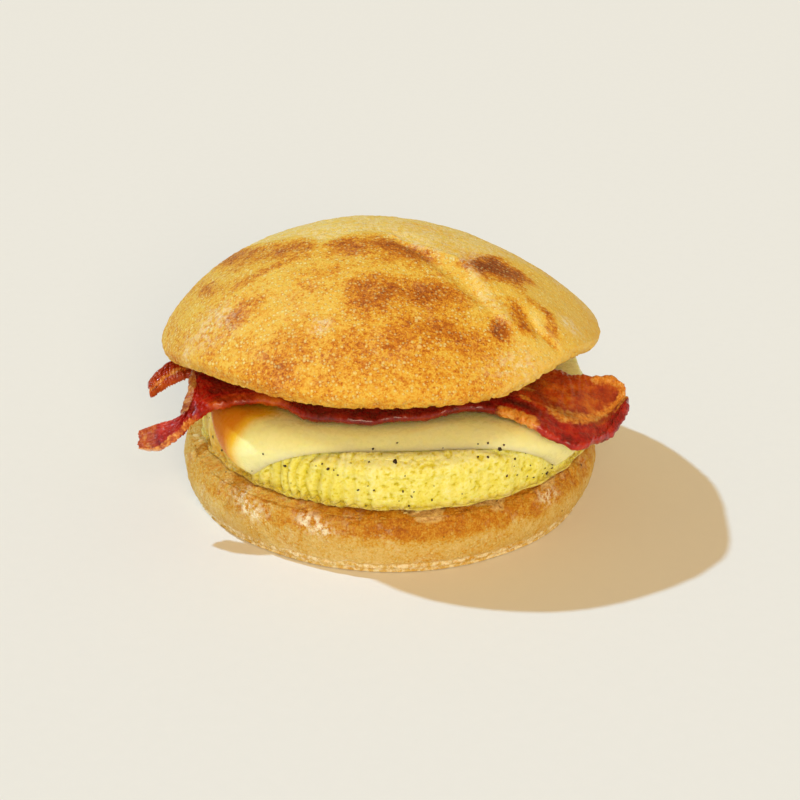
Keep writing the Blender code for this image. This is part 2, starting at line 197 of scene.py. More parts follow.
# Toasted marks of the dome, seen from above, in millimetres and degrees:
# x, y, half length, half width, turn of the long side, how much darker
TOAST_MARKS = (
    (-8.6, -11.0, 5.4, 3.4, 38.0, 0.24),
    (3.2, -11.2, 5.4, 3.2, -22.0, 0.28),
    (0.5, -13.5, 8.6, 4.4, -8.0, 0.20),
    (0.0, -20.0, 13.0, 5.0, 0.0, 0.04),
    (-3.0, -29.6, 5.0, 4.6, 40.0, 0.28),
    (9.4, -27.6, 6.4, 3.6, 10.0, 0.28),
    (4.6, -33.5, 13.0, 7.0, 0.0, 0.10),
    (2.0, -43.0, 17.0, 7.0, 0.0, 0.08),
    (2.5, -42.0, 3.6, 3.4, 0.0, 0.06),
    (11.9, -36.4, 3.0, 3.0, 0.0, 0.15),
    (18.4, -39.6, 3.2, 2.8, 0.0, 0.12),
    (23.9, -33.0, 2.2, 2.4, 0.0, 0.26),
    (24.4, -10.8, 6.8, 5.8, 30.0, 0.56),
    (20.0, -14.0, 3.6, 2.4, 20.0, 0.16),
    (27.6, -27.2, 1.7, 3.8, 12.0, 0.38),
    (32.0, -22.4, 3.0, 1.6, -30.0, 0.34),
    (34.8, -27.4, 1.5, 3.8, 6.0, 0.34),
    (30.0, -31.0, 1.6, 2.0, 0.0, 0.28),
    (23.4, -34.1, 2.2, 2.2, 0.0, 0.20),
    (8.4, 5.4, 5.0, 3.0, 0.0, 0.18),
    (13.6, -4.8, 3.4, 2.2, -20.0, 0.16),
    (-21.0, -10.4, 4.0, 4.6, 20.0, 0.28),
    (-28.0, -6.4, 5.0, 4.4, 30.0, 0.22),
    (-34.8, 2.0, 3.0, 6.4, 20.0, 0.28),
    (-29.0, -18.6, 4.6, 1.4, 24.0, 0.16),
    (-23.0, -15.8, 2.6, 1.1, 24.0, 0.10),
    (-29.8, -29.0, 3.2, 2.8, 20.0, 0.15),
    (-17.4, -25.8, 2.0, 1.8, 0.0, 0.17),
    (-13.4, -21.8, 3.0, 1.8, 10.0, 0.16),
    (-40.0, -10.8, 1.5, 4.4, 20.0, 0.20),
    (-21.0, -41.2, 3.6, 3.4, 0.0, 0.14),
    (-7.8, -45.0, 3.6, 3.0, 0.0, 0.09),
    (-24.6, -45.6, 5.0, 2.2, -20.0, 0.12),
    (-33.0, -31.0, 2.6, 2.4, 0.0, 0.14),
    (-12.0, 26.0, 9.0, 6.0, 30.0, 0.26),
    (22.0, 24.0, 8.0, 5.0, -40.0, 0.30),
    (-34.0, 26.0, 6.0, 5.0, -45.0, 0.22),
    (6.0, 42.0, 10.0, 4.0, 0.0, 0.24),
    (38.0, 12.0, 4.0, 6.0, 0.0, 0.20),
)
MARK_SPREAD = 1.25
CROWN_TOAST = 0.34
HEEL_TOAST = 0.24
# Flour on the dome, in millimetres and degrees: x, y, half length, half width, turn, strength
FLOUR_PATCHES = (
    (-37.0, -28.0, 4.5, 6.5, 45.0, 0.4),
    (39.8, -22.0, 2.6, 3.0, 0.0, 0.8),
    (-14.0, -38.0, 2.4, 2.0, 0.0, 0.6),
)
FLOUR_STREAKS = ((-43.5, -29.0, 1.2, 5.0, 0.0, 0.4), (27.0, -40.0, 7.0, 2.4, 30.0, 0.5))
# Behind this line over the dome, in millimetres from left to right, the crust stayed pale
CREST_LINE = (
    (-52.0, 14.0), (-34.0, 8.0), (-28.0, 1.0), (-20.0, -3.5), (-14.0, -9.5), (-9.0, -7.2),
    (-4.0, -4.4), (1.0, -5.6), (7.0, -8.8), (12.5, -11.8), (17.3, -14.0), (22.0, -4.0), (30.0, 2.0),
    (50.0, -6.0),
)
# The seam's pale ridge, in millimetres
SEAM_LINE = (
    (1.0, -5.2), (6.9, -8.6), (12.5, -11.6), (17.3, -13.8), (19.0, -20.0), (21.0, -25.2), (25.0, -30.6),
)

# The crease of the small fold beside the seam's end, in millimetres
FOLD_LINE = ((30.6, -27.6), (31.6, -29.4), (33.2, -30.6), (35.5, -32.2))
FOLD_RIDGE_SHIFT = (1.1, 1.0)
# Where the lower half's crust is torn back from its cut: degrees round the roll and half width
TORN_PLACES = ((280.0, 6.0), (299.0, 5.5), (320.0, 4.0), (100.0, 9.0), (40.0, 6.0))
# White blisters on the lower half: degrees round the roll and share of its height
FLOURED_PLACES = (
    (248.5, 0.82), (253.0, 0.72), (226.0, 0.86), (231.0, 0.74), (318.0, 0.8), (70.0, 0.8), (130.0, 0.7),
)

# Steps of the grids: round a turned piece, or along and across a thin one
HEEL_SIDES = 720
EGG_SIDES = 900
CROWN_SIDES = 600
DOME_STEPS = 130
CHEESE_STEPS = (190, 170)

# Toast levels from 0 to 1: the browned band of the lower half, and the paler parts of the dome, where the
# paler right side is painted light
BAND_START = 0.50
BAND_WIDTH = 0.26
BAND_TOAST = 0.13
BAND_FRONT_TOAST = 0.20
FRONT_TURN = 285.0
FRONT_HALF_TURN = 60.0
PALE_BACK = 0.18
PAINTED_LIGHT_RIGHT = 0.16
PALE_HIDDEN = 0.10

# Mottling of the materials, from broad to finest, and the spacing of small and large light dots
CRUST_MOTTLE = (5.0 * MM, 0.95 * MM, 0.42 * MM)
DOT_SPACING = (0.85 * MM, 2.2 * MM)
FLOUR_GRAIN = 1.3 * MM
EGG_MOTTLE = (3.5 * MM, 0.8 * MM, 0.35 * MM)
CHEESE_MOTTLE = (9.0 * MM, 1.5 * MM)
BACON_MOTTLE = (4.5 * MM, 1.1 * MM, 0.6 * MM)
PEPPER_GRAIN = 0.5 * MM
# Depth of the materials' finest relief, and how far light spreads under each surface
CRUST_BUMP = 0.22 * MM
EGG_BUMP = 0.2 * MM
CHEESE_BUMP = 0.1 * MM
BACON_BUMP = 0.18 * MM
PEPPER_BUMP = 0.1 * MM
CRUST_GLOW = 1.0 * MM
EGG_GLOW = 1.6 * MM
CHEESE_GLOW = 2.4 * MM
BACON_GLOW = 1.0 * MM

# Sizes of the crusts' and the egg's features
CRUST_GRAIN = 1.5 * MM
HEEL_LUMP = 5.0 * MM
HEEL_BLISTER = 2.0 * MM
HEEL_HOLE = 2.4 * MM
HEEL_RIM_LUMP = 1.8 * MM
CROWN_BLISTER = 1.5 * MM
CROWN_BUMP = 6.0 * MM
CROWN_WANDER = 3.4 * MM
CROWN_HOLE = 3.0 * MM
RAGGED_LIP = 1.7 * MM
EGG_STREAK = 1.7 * MM
EGG_PORE = 1.0 * MM
EGG_SMALL_PORE = 0.55 * MM
EGG_LUMP = 5.0 * MM

# Depths of the relief in millimetres: the crusts' lumps, blisters and grain, and each single feature
HEEL_CRUST = (0.22, 0.16, 0.16)
CROWN_CRUST = (0.22, 0.13, 0.14)
HEEL_BASE_CREASE = 0.4
HEEL_RIM_ROUGHNESS = 0.45
HEEL_HOLES = 0.9
CROWN_HOLES = 1.2
SEAM_RIDGE = 0.45
FOLD_CREASE = 0.35
FOLD_RIDGE = 0.12
PALE_SINK = 0.2
EGG_FLUTES = 0.7
EGG_PORES = 0.36
FULLER_SHOULDER = 1.0

# Ground pepper: places in the photograph's frame where a fleck lies, and how large it is in millimetres
PEPPER_PIXELS = (
    (213, 437, 0.55), (222, 450, 0.75), (285, 466, 0.65), (328, 469, 0.6), (334, 470, 0.45),
    (338, 475, 0.5), (322, 464, 0.4), (316, 466, 0.35), (395, 462, 1.15), (405, 476, 0.35),
    (369, 462, 0.45), (351, 463, 0.3), (358, 490, 0.5), (374, 490, 0.55), (368, 486, 0.3),
    (403, 492, 0.35), (414, 492, 0.35), (412, 497, 0.4), (399, 501, 0.3), (409, 506, 0.4),
    (263, 454, 0.4), (252, 471, 0.3), (291, 483, 0.3), (373, 449, 0.55), (397, 443, 0.45),
    (366, 506, 0.35), (335, 506, 0.3), (226, 472, 0.35), (478, 444, 0.5), (488, 443, 0.5),
    (500, 449, 0.85), (504, 445, 0.45), (478, 457, 0.65), (488, 457, 0.7), (515, 459, 0.5),
    (514, 466, 0.4), (507, 476, 0.6), (545, 468, 0.4), (552, 468, 0.55), (581, 465, 0.6),
    (467, 510, 0.45), (497, 501, 0.4), (432, 500, 0.5), (411, 496, 0.3), (403, 491, 0.5),
    (434, 486, 0.3), (444, 537, 0.3), (562, 511, 0.3), (443, 448, 0.3), (462, 494, 0.3),
)
PEPPER_SEED = 5
PEPPER_ROUND_COUNT = 110
PEPPER_ROUND_TURNS = (-55.0, 200.0)
PEPPER_ROUND_HEIGHTS = (0.06, 0.8)
PEPPER_ROUND_SIZES = (0.3, 0.35, 0.45, 0.6, 0.8)
PEPPER_FLATNESS = 0.55
CRUMB_FLATNESS = 0.6
# Crumbs on the lower half: places in the photograph's frame, and size in millimetres
CRUMB_PIXELS = (
    (477, 500, 1.7), (484, 497, 1.3), (491, 496, 1.5), (500, 493, 1.1), (512, 487, 1.3), (522, 484, 1.1),
    (418, 511, 1.3), (429, 509, 1.0), (438, 507, 1.2), (405, 513, 0.9), (538, 481, 0.9), (468, 505, 0.9),
    (196, 436, 1.6), (201, 441, 1.2),
)

# Colours as linear red, green and blue; a list of stops gives a place from 0 to 1 with each colour
CROWN_STOPS = (
    (0.0, (0.88, 0.63, 0.16)), (0.2, (0.86, 0.56, 0.09)), (0.36, (0.84, 0.50, 0.06)),
    (0.5, (0.77, 0.35, 0.022)), (0.65, (0.61, 0.19, 0.008)), (0.82, (0.40, 0.095, 0.004)),
    (1.0, (0.22, 0.045, 0.002)),
)
HEEL_STOPS = (
    (0.0, (0.78, 0.59, 0.25)), (0.25, (0.69, 0.46, 0.12)), (0.4, (0.64, 0.34, 0.035)),
    (0.55, (0.56, 0.21, 0.008)), (0.75, (0.40, 0.11, 0.004)), (1.0, (0.20, 0.045, 0.003)),
)
CROWN_DOTS = (0.95, 0.77, 0.30)
HEEL_DOTS = (0.90, 0.72, 0.27)
CRUMB_STOPS = ((0.3, (0.46, 0.20, 0.04)), (0.6, (0.80, 0.54, 0.20)))
FLOUR_COLOUR = (0.92, 0.81, 0.56)
EGG_STOPS = (
    (0.0, (0.95, 0.94, 0.44)), (0.3, (0.90, 0.85, 0.21)),
    (0.65, (0.79, 0.70, 0.05)), (1.0, (0.60, 0.51, 0.015)),
)
EGG_CREAM = (0.92, 0.80, 0.20)
EGG_BROWN_AND_SHADE = (0.78, 0.44, 0.06)
CHEESE_DEEP = (0.98, 0.94, 0.42)
CHEESE_PALE = (0.99, 0.96, 0.48)
# Fat on the cheese, which also paints the shade under the bacon
GREASE_AND_SHADE_GOLD = (0.84, 0.50, 0.02)
GREASE_AND_SHADE_BROWN = (0.66, 0.24, 0.006)
LEAN_STOPS = ((0.3, (0.16, 0.003, 0.002)), (0.5, (0.40, 0.006, 0.003)), (0.7, (0.56, 0.035, 0.006)))
FAT_STOPS = ((0.3, (0.54, 0.12, 0.008)), (0.52, (0.78, 0.29, 0.03)), (0.75, (0.92, 0.60, 0.20)))
CRISP_STOPS = ((0.25, (0.30, 0.02, 0.003)), (0.5, (0.46, 0.06, 0.004)), (0.75, (0.66, 0.18, 0.012)))
# Near black red: painted shade on the front strip, and the back strip's darker parts
BACON_SHADE_DARK = (0.035, 0.004, 0.004)
PEPPER_STOPS = ((0.35, (0.006, 0.004, 0.003)), (0.7, (0.10, 0.035, 0.010)))
FLOOR_TONES = ((0.85, 0.81, 0.74), (0.87, 0.83, 0.76))


def smooth_step(value):
    """Rises smoothly from 0 to 1 as the value goes from 0 to 1."""
    share = np.clip(value, 0.0, 1.0)
    return share * share * (3.0 - 2.0 * share)


def rise(value, start, width):
    """0 up to the start, then smoothly up to 1 over the width."""
    return smooth_step((value - start) / width)


def fall(value, end, width):
    """1 until the width before the end, then smoothly down to 0 at the end."""
    return smooth_step((end - value) / width)


def bell(value, width):
    """1 where the value is 0, fading to 0 past the width on both sides."""
    return np.exp(-((value / width) ** 2))


def noise_at(points, size, seed, octaves=1):
    """Soft noise, between about -1 and 1, at each point; its largest features have the given size."""
    place = np.asarray(points, dtype=float).reshape(-1, 3) / size + (seed, -seed, 0.5 * seed)
    if octaves == 1:
        values = [noise.noise(Vector(p)) for p in place.tolist()]
    else:
        values = [noise.fractal(Vector(p), 1.0, 2.0, octaves) for p in place.tolist()]
    return np.array(values).reshape(np.shape(points)[:-1])


def cells_at(points, size, seed):
    """Distances to the nearest and the next of scattered spots, as shares of their spacing."""
    place = np.asarray(points, dtype=float).reshape(-1, 3) / size + (seed, -seed, 0.5 * seed)
    values = np.array([noise.voronoi(Vector(p))[0][:2] for p in place.tolist()])
    shape = np.shape(points)[:-1]
    return values[:, 0].reshape(shape), values[:, 1].reshape(shape)


def smooth_through(stations, shares):
    """Points on the smooth curve through the stations, at shares of its length from 0 to 1."""
    values = np.asarray(stations, dtype=float)
    place = np.asarray(shares, dtype=float) * (len(values) - 1)
    first = np.minimum(place.astype(int), len(values) - 2)
    t = (place - first)[..., None]
    before = values[np.maximum(first - 1, 0)]
    start, end = values[first], values[first + 1]
    after = values[np.minimum(first + 2, len(values) - 1)]
    return 0.5 * (
        2.0 * start
        + (end - before) * t
        + (2.0 * before - 5.0 * start + 4.0 * end - after) * t * t
        + (3.0 * start - before - 3.0 * end + after) * t * t * t
    )


def stack(x, y, z):
    """Points from their coordinates, each a grid or one number."""
    return np.stack(np.broadcast_arrays(x, y, z), axis=-1)


def oval_away(x, y, centre_x, centre_y, length, width, turn):
    """Distance from the middle of an oval spot, 1 on its outline."""
    angle = math.radians(turn)
    dx, dy = x - centre_x, y - centre_y
    along = (dx * math.cos(angle) + dy * math.sin(angle)) / length
    across = (dy * math.cos(angle) - dx * math.sin(angle)) / width
    return np.hypot(along, across)


def blob(x, y, *oval):
    """1 at the middle of an oval spot, fading to 0 past its outline."""
    return bell(oval_away(x, y, *oval), 1.0)


def patch(x, y, *oval, wander):
    """1 over the middle of an oval patch whose edge wanders, and 0 outside it."""
    return 1.0 - rise(oval_away(x, y, *oval) + 0.22 * wander, 0.35, 1.15)


def line_distance(x, y, line):
    """Distance from each point to a line of straight stretches."""
    best = np.full(np.shape(x), np.inf)
    for (start_x, start_y), (end_x, end_y) in zip(line[:-1], line[1:]):
        run_x, run_y = end_x - start_x, end_y - start_y
        share = ((x - start_x) * run_x + (y - start_y) * run_y) / (run_x**2 + run_y**2)
        share = np.clip(share, 0.0, 1.0)
        best = np.minimum(best, np.hypot(x - start_x - share * run_x, y - start_y - share * run_y))
    return best


def grid_normals(points):
    """Outward directions of a grid of points (ring, side) that closes round its sides."""
    round_it = np.roll(points, -1, axis=1) - np.roll(points, 1, axis=1)
    up_it = np.gradient(points, axis=0)
    normals = np.cross(round_it, up_it)
    return normals / np.maximum(np.linalg.norm(normals, axis=-1, keepdims=True), 1e-12)


def add_object(name, data):
    """An object of the scene from its mesh, light or camera."""
    made = bpy.data.objects.new(name, data)
    bpy.context.scene.collection.objects.link(made)
    return made


def riding_piece(name, mesh, material):
    """A smooth shaded piece of one material that rides on the sandwich."""
    mesh.shade_smooth()
    mesh.materials.append(material)
    piece = add_object(name, mesh)
    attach(piece, BODY)
    return piece


def mesh_piece(name, points, faces, material, values):
    """A piece from points and faces; values are named numbers for each point."""
    mesh = bpy.data.meshes.new(name)
    mesh.from_pydata(np.asarray(points).tolist(), [], faces)
    for label, numbers in values.items():
        attribute = mesh.attributes.new(label, "FLOAT", "POINT")
        attribute.data.foreach_set("value", np.asarray(numbers, dtype=np.float32).ravel())
    return riding_piece(name, mesh, material)


def turned_piece(name, rings, material, values):
    """A closed piece from rings of points; the first and last rings shrink to single points."""
    count, sides = rings.shape[:2]
    inner = rings[1:-1].reshape(-1, 3)
    points = np.vstack([rings[0, :1], inner, rings[-1, :1]])
    side = np.arange(sides)
    after = (side + 1) % sides
    low = 1 + np.arange(count - 3)[:, None] * sides
    quads = np.stack([low + side, low + after, low + sides + after, low + sides + side], axis=-1)
    faces = quads.reshape(-1, 4).tolist()
    top = len(points) - 1
    last = 1 + (count - 3) * sides
    faces += np.stack([np.zeros_like(side), 1 + after, 1 + side], axis=-1).tolist()
    faces += np.stack([last + side, last + after, np.full_like(side, top)], axis=-1).tolist()
    flat = {}
    for label, numbers in values.items():
        numbers = np.broadcast_to(numbers, (count, sides))
        flat[label] = np.concatenate([numbers[0, :1], numbers[1:-1].ravel(), numbers[-1, :1]])
    return mesh_piece(name, points, faces, material, flat)


def add_node(tree, kind, inputs=None, **settings):
    """A shader node with its settings; an input is a number, a colour or another node's socket."""
    node = tree.nodes.new(kind)
    for key, value in settings.items():
        setattr(node, key, value)
    for key, value in (inputs or {}).items():
        if isinstance(value, bpy.types.NodeSocket):
            tree.links.new(value, node.inputs[key])
        else:
            node.inputs[key].default_value = value
    return node


def calc(tree, operation, first, second=0.0, clamp=False):
    """Two numbers added, multiplied and so on."""
    node = add_node(tree, "ShaderNodeMath", {0: first, 1: second}, operation=operation, use_clamp=clamp)
    return node.outputs[0]


def value_of(tree, label):
    """A piece's named numbers, as a socket."""
    return add_node(tree, "ShaderNodeAttribute", attribute_name=label).outputs["Fac"]


def between(tree, value, low, high, to_low=0.0, to_high=1.0):
    """The value's place between low and high, moved to the range from to_low to to_high."""
    inputs = {"Value": value, "From Min": low, "From Max": high, "To Min": to_low, "To Max": to_high}
    return add_node(tree, "ShaderNodeMapRange", inputs).outputs[0]


def mix(tree, factor, first, second):
    """A colour between two colours."""
    node = add_node(tree, "ShaderNodeMix", data_type="RGBA")
    for index, value in ((0, factor), (6, first), (7, second)):
        if isinstance(value, bpy.types.NodeSocket):
            tree.links.new(value, node.inputs[index])
        else:
            node.inputs[index].default_value = value if index == 0 else (*value, 1.0)
    return node.outputs[2]


def ramp(tree, value, stops):
    """A colour from a list of (place, colour) stops."""
    node = add_node(tree, "ShaderNodeValToRGB", {"Fac": value})
    elements = node.color_ramp.elements
    while len(elements) < len(stops):
        elements.new(0.5)
    for element, (place, colour) in zip(elements, stops):
        element.position = place
        element.color = (*colour, 1.0)
    return node.outputs[0]


def place_of(tree):
    """The point's place in the piece, in metres."""
    return add_node(tree, "ShaderNodeTexCoord").outputs["Object"]


def grain(tree, place, size, detail=3.0, roughness=0.55):
    """Noise from 0 to 1 whose features are about the given size."""
    inputs = {"Vector": place, "Scale": 1.0 / size, "Detail": detail, "Roughness": roughness}
    return add_node(tree, "ShaderNodeTexNoise", inputs).outputs["Fac"]


def spots(tree, place, size):
    """Distance to the nearest of scattered spots, and a random number for each spot."""
    node = add_node(tree, "ShaderNodeTexVoronoi", {"Vector": place, "Scale": 1.0 / size})
    chance = add_node(tree, "ShaderNodeSeparateColor", {"Color": node.outputs["Color"]})
    return node.outputs["Distance"], chance.outputs[0]


def new_material(name, roughness, specular):
    made = bpy.data.materials.new(name)
    made.use_nodes = True
    shader = made.node_tree.nodes["Principled BSDF"]
    shader.inputs["Roughness"].default_value = roughness
    shader.inputs["Specular IOR Level"].default_value = specular
    return made, made.node_tree, shader


def add_bump(tree, shader, height, distance, strength=1.0):
    inputs = {"Height": height, "Distance": distance, "Strength": strength}
    bump = add_node(tree, "ShaderNodeBump", inputs)
    tree.links.new(bump.outputs[0], shader.inputs["Normal"])


def paint(tree, shader, colour, roughness=None):
    """Gives a shader its colour and, where it varies, its roughness."""
    tree.links.new(colour, shader.inputs["Base Color"])
    if roughness:
        tree.links.new(roughness, shader.inputs["Roughness"])


def soften(shader, weight, radius, scale):
    """Lets light spread under the surface."""
    shader.inputs["Subsurface Weight"].default_value = weight
    shader.inputs["Subsurface Radius"].default_value = radius
    shader.inputs["Subsurface Scale"].default_value = scale


def swung(tree, noise_value, strength):
    """Noise moved to lie evenly round 0 and made as strong as asked."""
    return calc(tree, "MULTIPLY", calc(tree, "SUBTRACT", noise_value, 0.5), strength)


def dots(tree, place, spacing, chances, sizes, softness, strength=1.0):
    """Scattered round dots: their sizes run between two numbers as their chances do."""
    distance, chance = spots(tree, place, spacing)
    size = between(tree, chance, *chances, *sizes)
    return between(tree, calc(tree, "SUBTRACT", size, distance), 0.0, softness, 0.0, strength)


def crust_material(name, stops, dot_colour):
    """Baked crust: toast colours by the piece's own marks, fine blisters whose light dots also stand in for
    painted highlights, flour and open crumb.
    """
    made, tree, shader = new_material(name, 0.6, 0.2)
    place = place_of(tree)
    broad = grain(tree, place, CRUST_MOTTLE[0], 4.0, 0.6)
    fine = grain(tree, place, CRUST_MOTTLE[1], 3.0, 0.7)
    finest = grain(tree, place, CRUST_MOTTLE[2], 2.0, 0.65)
    blister = value_of(tree, "blister")
    toast = value_of(tree, "toast")
    speckle = swung(tree, fine, between(tree, blister, 0.0, 1.0, 0.35, 0.95))
    uneven = calc(tree, "ADD", speckle, swung(tree, finest, 0.7))
    level = calc(tree, "ADD", calc(tree, "ADD", toast, swung(tree, broad, 0.45)), uneven, clamp=True)
    colour = ramp(tree, level, stops)
    # Light dots: pale blisters, which also serve as painted pinpoint highlights
    small = dots(tree, place, DOT_SPACING[0], (0.0, 1.0), (0.12, 0.46), 0.12)
    large = dots(tree, place, DOT_SPACING[1], (0.5, 1.0), (0.0, 0.26), 0.07, 0.8)
    near = calc(tree, "MAXIMUM", small, large)
    paler = calc(tree, "MULTIPLY", blister, between(tree, toast, 0.34, 0.7, 0.85, 0.38))
    colour = mix(tree, calc(tree, "MULTIPLY", near, paler), colour, dot_colour)
    dusting = between(tree, grain(tree, place, FLOUR_GRAIN, 4.0, 0.7), 0.44, 0.6)
    flour = calc(tree, "MULTIPLY", value_of(tree, "flour"), dusting, clamp=True)
    colour = mix(tree, flour, colour, FLOUR_COLOUR)
    colour = mix(tree, value_of(tree, "crumb"), colour, ramp(tree, fine, CRUMB_STOPS))
    paint(tree, shader, colour, between(tree, fine, 0.3, 0.7, 0.42, 0.72))
    soften(shader, 0.1, (1.0, 0.45, 0.18), CRUST_GLOW)
    height = calc(tree, "ADD", calc(tree, "MULTIPLY", near, 0.6), calc(tree, "ADD", fine, finest))
    add_bump(tree, shader, height, CRUST_BUMP, 0.9)
    return made


def egg_material():
    """Cooked egg: bright yellow with pits painted darker and greener as shade, browned at the left and
    painted with shade along its bottom.
    """
    made, tree, shader = new_material("cooked_egg", 0.45, 0.3)
    place = place_of(tree)
    broad = grain(tree, place, EGG_MOTTLE[0])
    fine = grain(tree, place, EGG_MOTTLE[1], 4.0, 0.65)
    tiny = grain(tree, place, EGG_MOTTLE[2], 2.0)
    mottle = between(tree, fine, 0.35, 0.75, -0.14, 0.34)
    level = calc(tree, "ADD", value_of(tree, "pit_shade"), mottle, clamp=True)
    colour = mix(tree, between(tree, broad, 0.52, 0.72, 0.0, 0.3), ramp(tree, level, EGG_STOPS), EGG_CREAM)
    colour = mix(tree, value_of(tree, "skin"), colour, EGG_BROWN_AND_SHADE)
    paint(tree, shader, colour)
    soften(shader, 0.6, (1.0, 0.9, 0.3), EGG_GLOW)
    add_bump(tree, shader, calc(tree, "ADD", fine, tiny), EGG_BUMP, 0.8)
    return made


def cheese_material():
    """Processed cheese, softened by the heat, darker where the bacon's fat reached it and with painted
    shade under the bacon.
    """
    made, tree, shader = new_material("melting_cheese", 0.28, 0.5)
    place = place_of(tree)
    broad = grain(tree, place, CHEESE_MOTTLE[0], 2.0)
    fine = grain(tree, place, CHEESE_MOTTLE[1])
    grease_and_shade = value_of(tree, "grease_and_shade")
    colour = mix(tree, between(tree, broad, 0.3, 0.7), CHEESE_DEEP, CHEESE_PALE)
    colour = mix(tree, between(tree, grease_and_shade, 0.0, 0.5), colour, GREASE_AND_SHADE_GOLD)
    colour = mix(tree, between(tree, grease_and_shade, 0.5, 1.0), colour, GREASE_AND_SHADE_BROWN)
    paint(tree, shader, colour, between(tree, fine, 0.3, 0.7, 0.2, 0.36))
    soften(shader, 0.7, (1.0, 0.85, 0.35), CHEESE_GLOW)
    add_bump(tree, shader, calc(tree, "ADD", fine, broad), CHEESE_BUMP, 0.4)
    return made


def bacon_material():
    """Fried bacon: dark red lean, tan fat, painted shade and a coat of melted fat, by the strip's own
    bands.
    """
    made, tree, shader = new_material("fried_bacon", 0.3, 0.25)
    place = place_of(tree)
    broad = grain(tree, place, BACON_MOTTLE[0])
    fibre = grain(tree, place, BACON_MOTTLE[1], 4.0, 0.65)
    beads = grain(tree, place, BACON_MOTTLE[2], 2.0)
    meat = calc(tree, "ADD", broad, between(tree, fibre, 0.3, 0.7, -0.12, 0.12))
    fried = calc(tree, "MULTIPLY", calc(tree, "ADD", fibre, between(tree, broad, 0.3, 0.7)), 0.5)
    lean, crisp = ramp(tree, meat, LEAN_STOPS), ramp(tree, fried, CRISP_STOPS)
    colour = mix(tree, value_of(tree, "crisp"), lean, crisp)
    fat_edge = calc(tree, "ADD", value_of(tree, "fat"), between(tree, fibre, 0.3, 0.7, -0.22, 0.22))
    colour = mix(tree, between(tree, fat_edge, 0.3, 0.75), colour, ramp(tree, fibre, FAT_STOPS))
    colour = mix(tree, value_of(tree, "dark"), colour, BACON_SHADE_DARK)
    paint(tree, shader, colour, between(tree, fibre, 0.3, 0.7, 0.16, 0.4))
    shader.inputs["Coat Weight"].default_value = 0.5
    shader.inputs["Coat Roughness"].default_value = 0.09
    soften(shader, 0.12, (1.0, 0.25, 0.1), BACON_GLOW)
    add_bump(tree, shader, calc(tree, "ADD", fibre, beads), BACON_BUMP, 0.9)
    return made


def pepper_material():
    made, tree, shader = new_material("ground_pepper", 0.55, 0.4)
    fine = grain(tree, place_of(tree), PEPPER_GRAIN, 2.0)
    paint(tree, shader, ramp(tree, fine, PEPPER_STOPS))
    add_bump(tree, shader, fine, PEPPER_BUMP)
    return made


def heel_rings(shares, angles):
    """Lower half of the roll: flat base, rounded side and flat cut face."""
    share, angle = np.meshgrid(shares, angles, indexing="ij")
    outline = smooth_through(HEEL_OUTLINE, share)
    reach, height = outline[..., 0], np.clip(outline[..., 1], 0.0, 1.0)
    cos_a, sin_a = np.cos(angle), np.sin(angle)
    uneven = HEEL_UNEVENNESS * reach * noise_at(stack(cos_a, sin_a, height), 0.6, 3.0)
    radius = HEEL_RADIUS * reach + uneven
    on_lip = rise(reach, HEEL_LIP_START, 1.0 - HEEL_LIP_START) * height**2
    drop = HEEL_LIP_DROP * on_lip * (1.0 + noise_at(stack(cos_a, sin_a, 0.0), 0.35, 6.0))
    return stack(radius * cos_a, radius * sin_a, HEEL_HEIGHT * height - drop), reach, height, angle


def ring_steps(*spans):
    """Shares of an outline: each span is (start, end, count) and gets its own even steps."""
    parts = [np.linspace(start, end, count, endpoint=False) for start, end, count in spans]
    return np.concatenate(parts + [[spans[-1][1]]])


def turn_distance(turn, at):
    """Degrees between directions round the roll, from -180 to 180."""
    return (turn - at + 180.0) % 360.0 - 180.0


def round_angles(sides):
    return np.linspace(0.0, 2.0 * math.pi, sides, endpoint=False)


def crust_relief(skin, near, small, depths):
    """Height of a crust's lumps, blisters and grain over its outline in millimetres, from 0 downwards."""
    lumps = depths[0] * np.clip(0.5 + 0.5 * skin, 0.0, 1.2)
    return -lumps - depths[1] * np.clip(near, 0.0, 1.0) - depths[2] * np.clip(0.5 + small, 0.0, 1.0)


def crumb_holes(points, size):
    """1 inside the bubbles of open crumb, falling to 0 at the walls between them."""
    near, after = cells_at(points, size, 9.0)
    return rise(after - near, 0.1, 0.5)


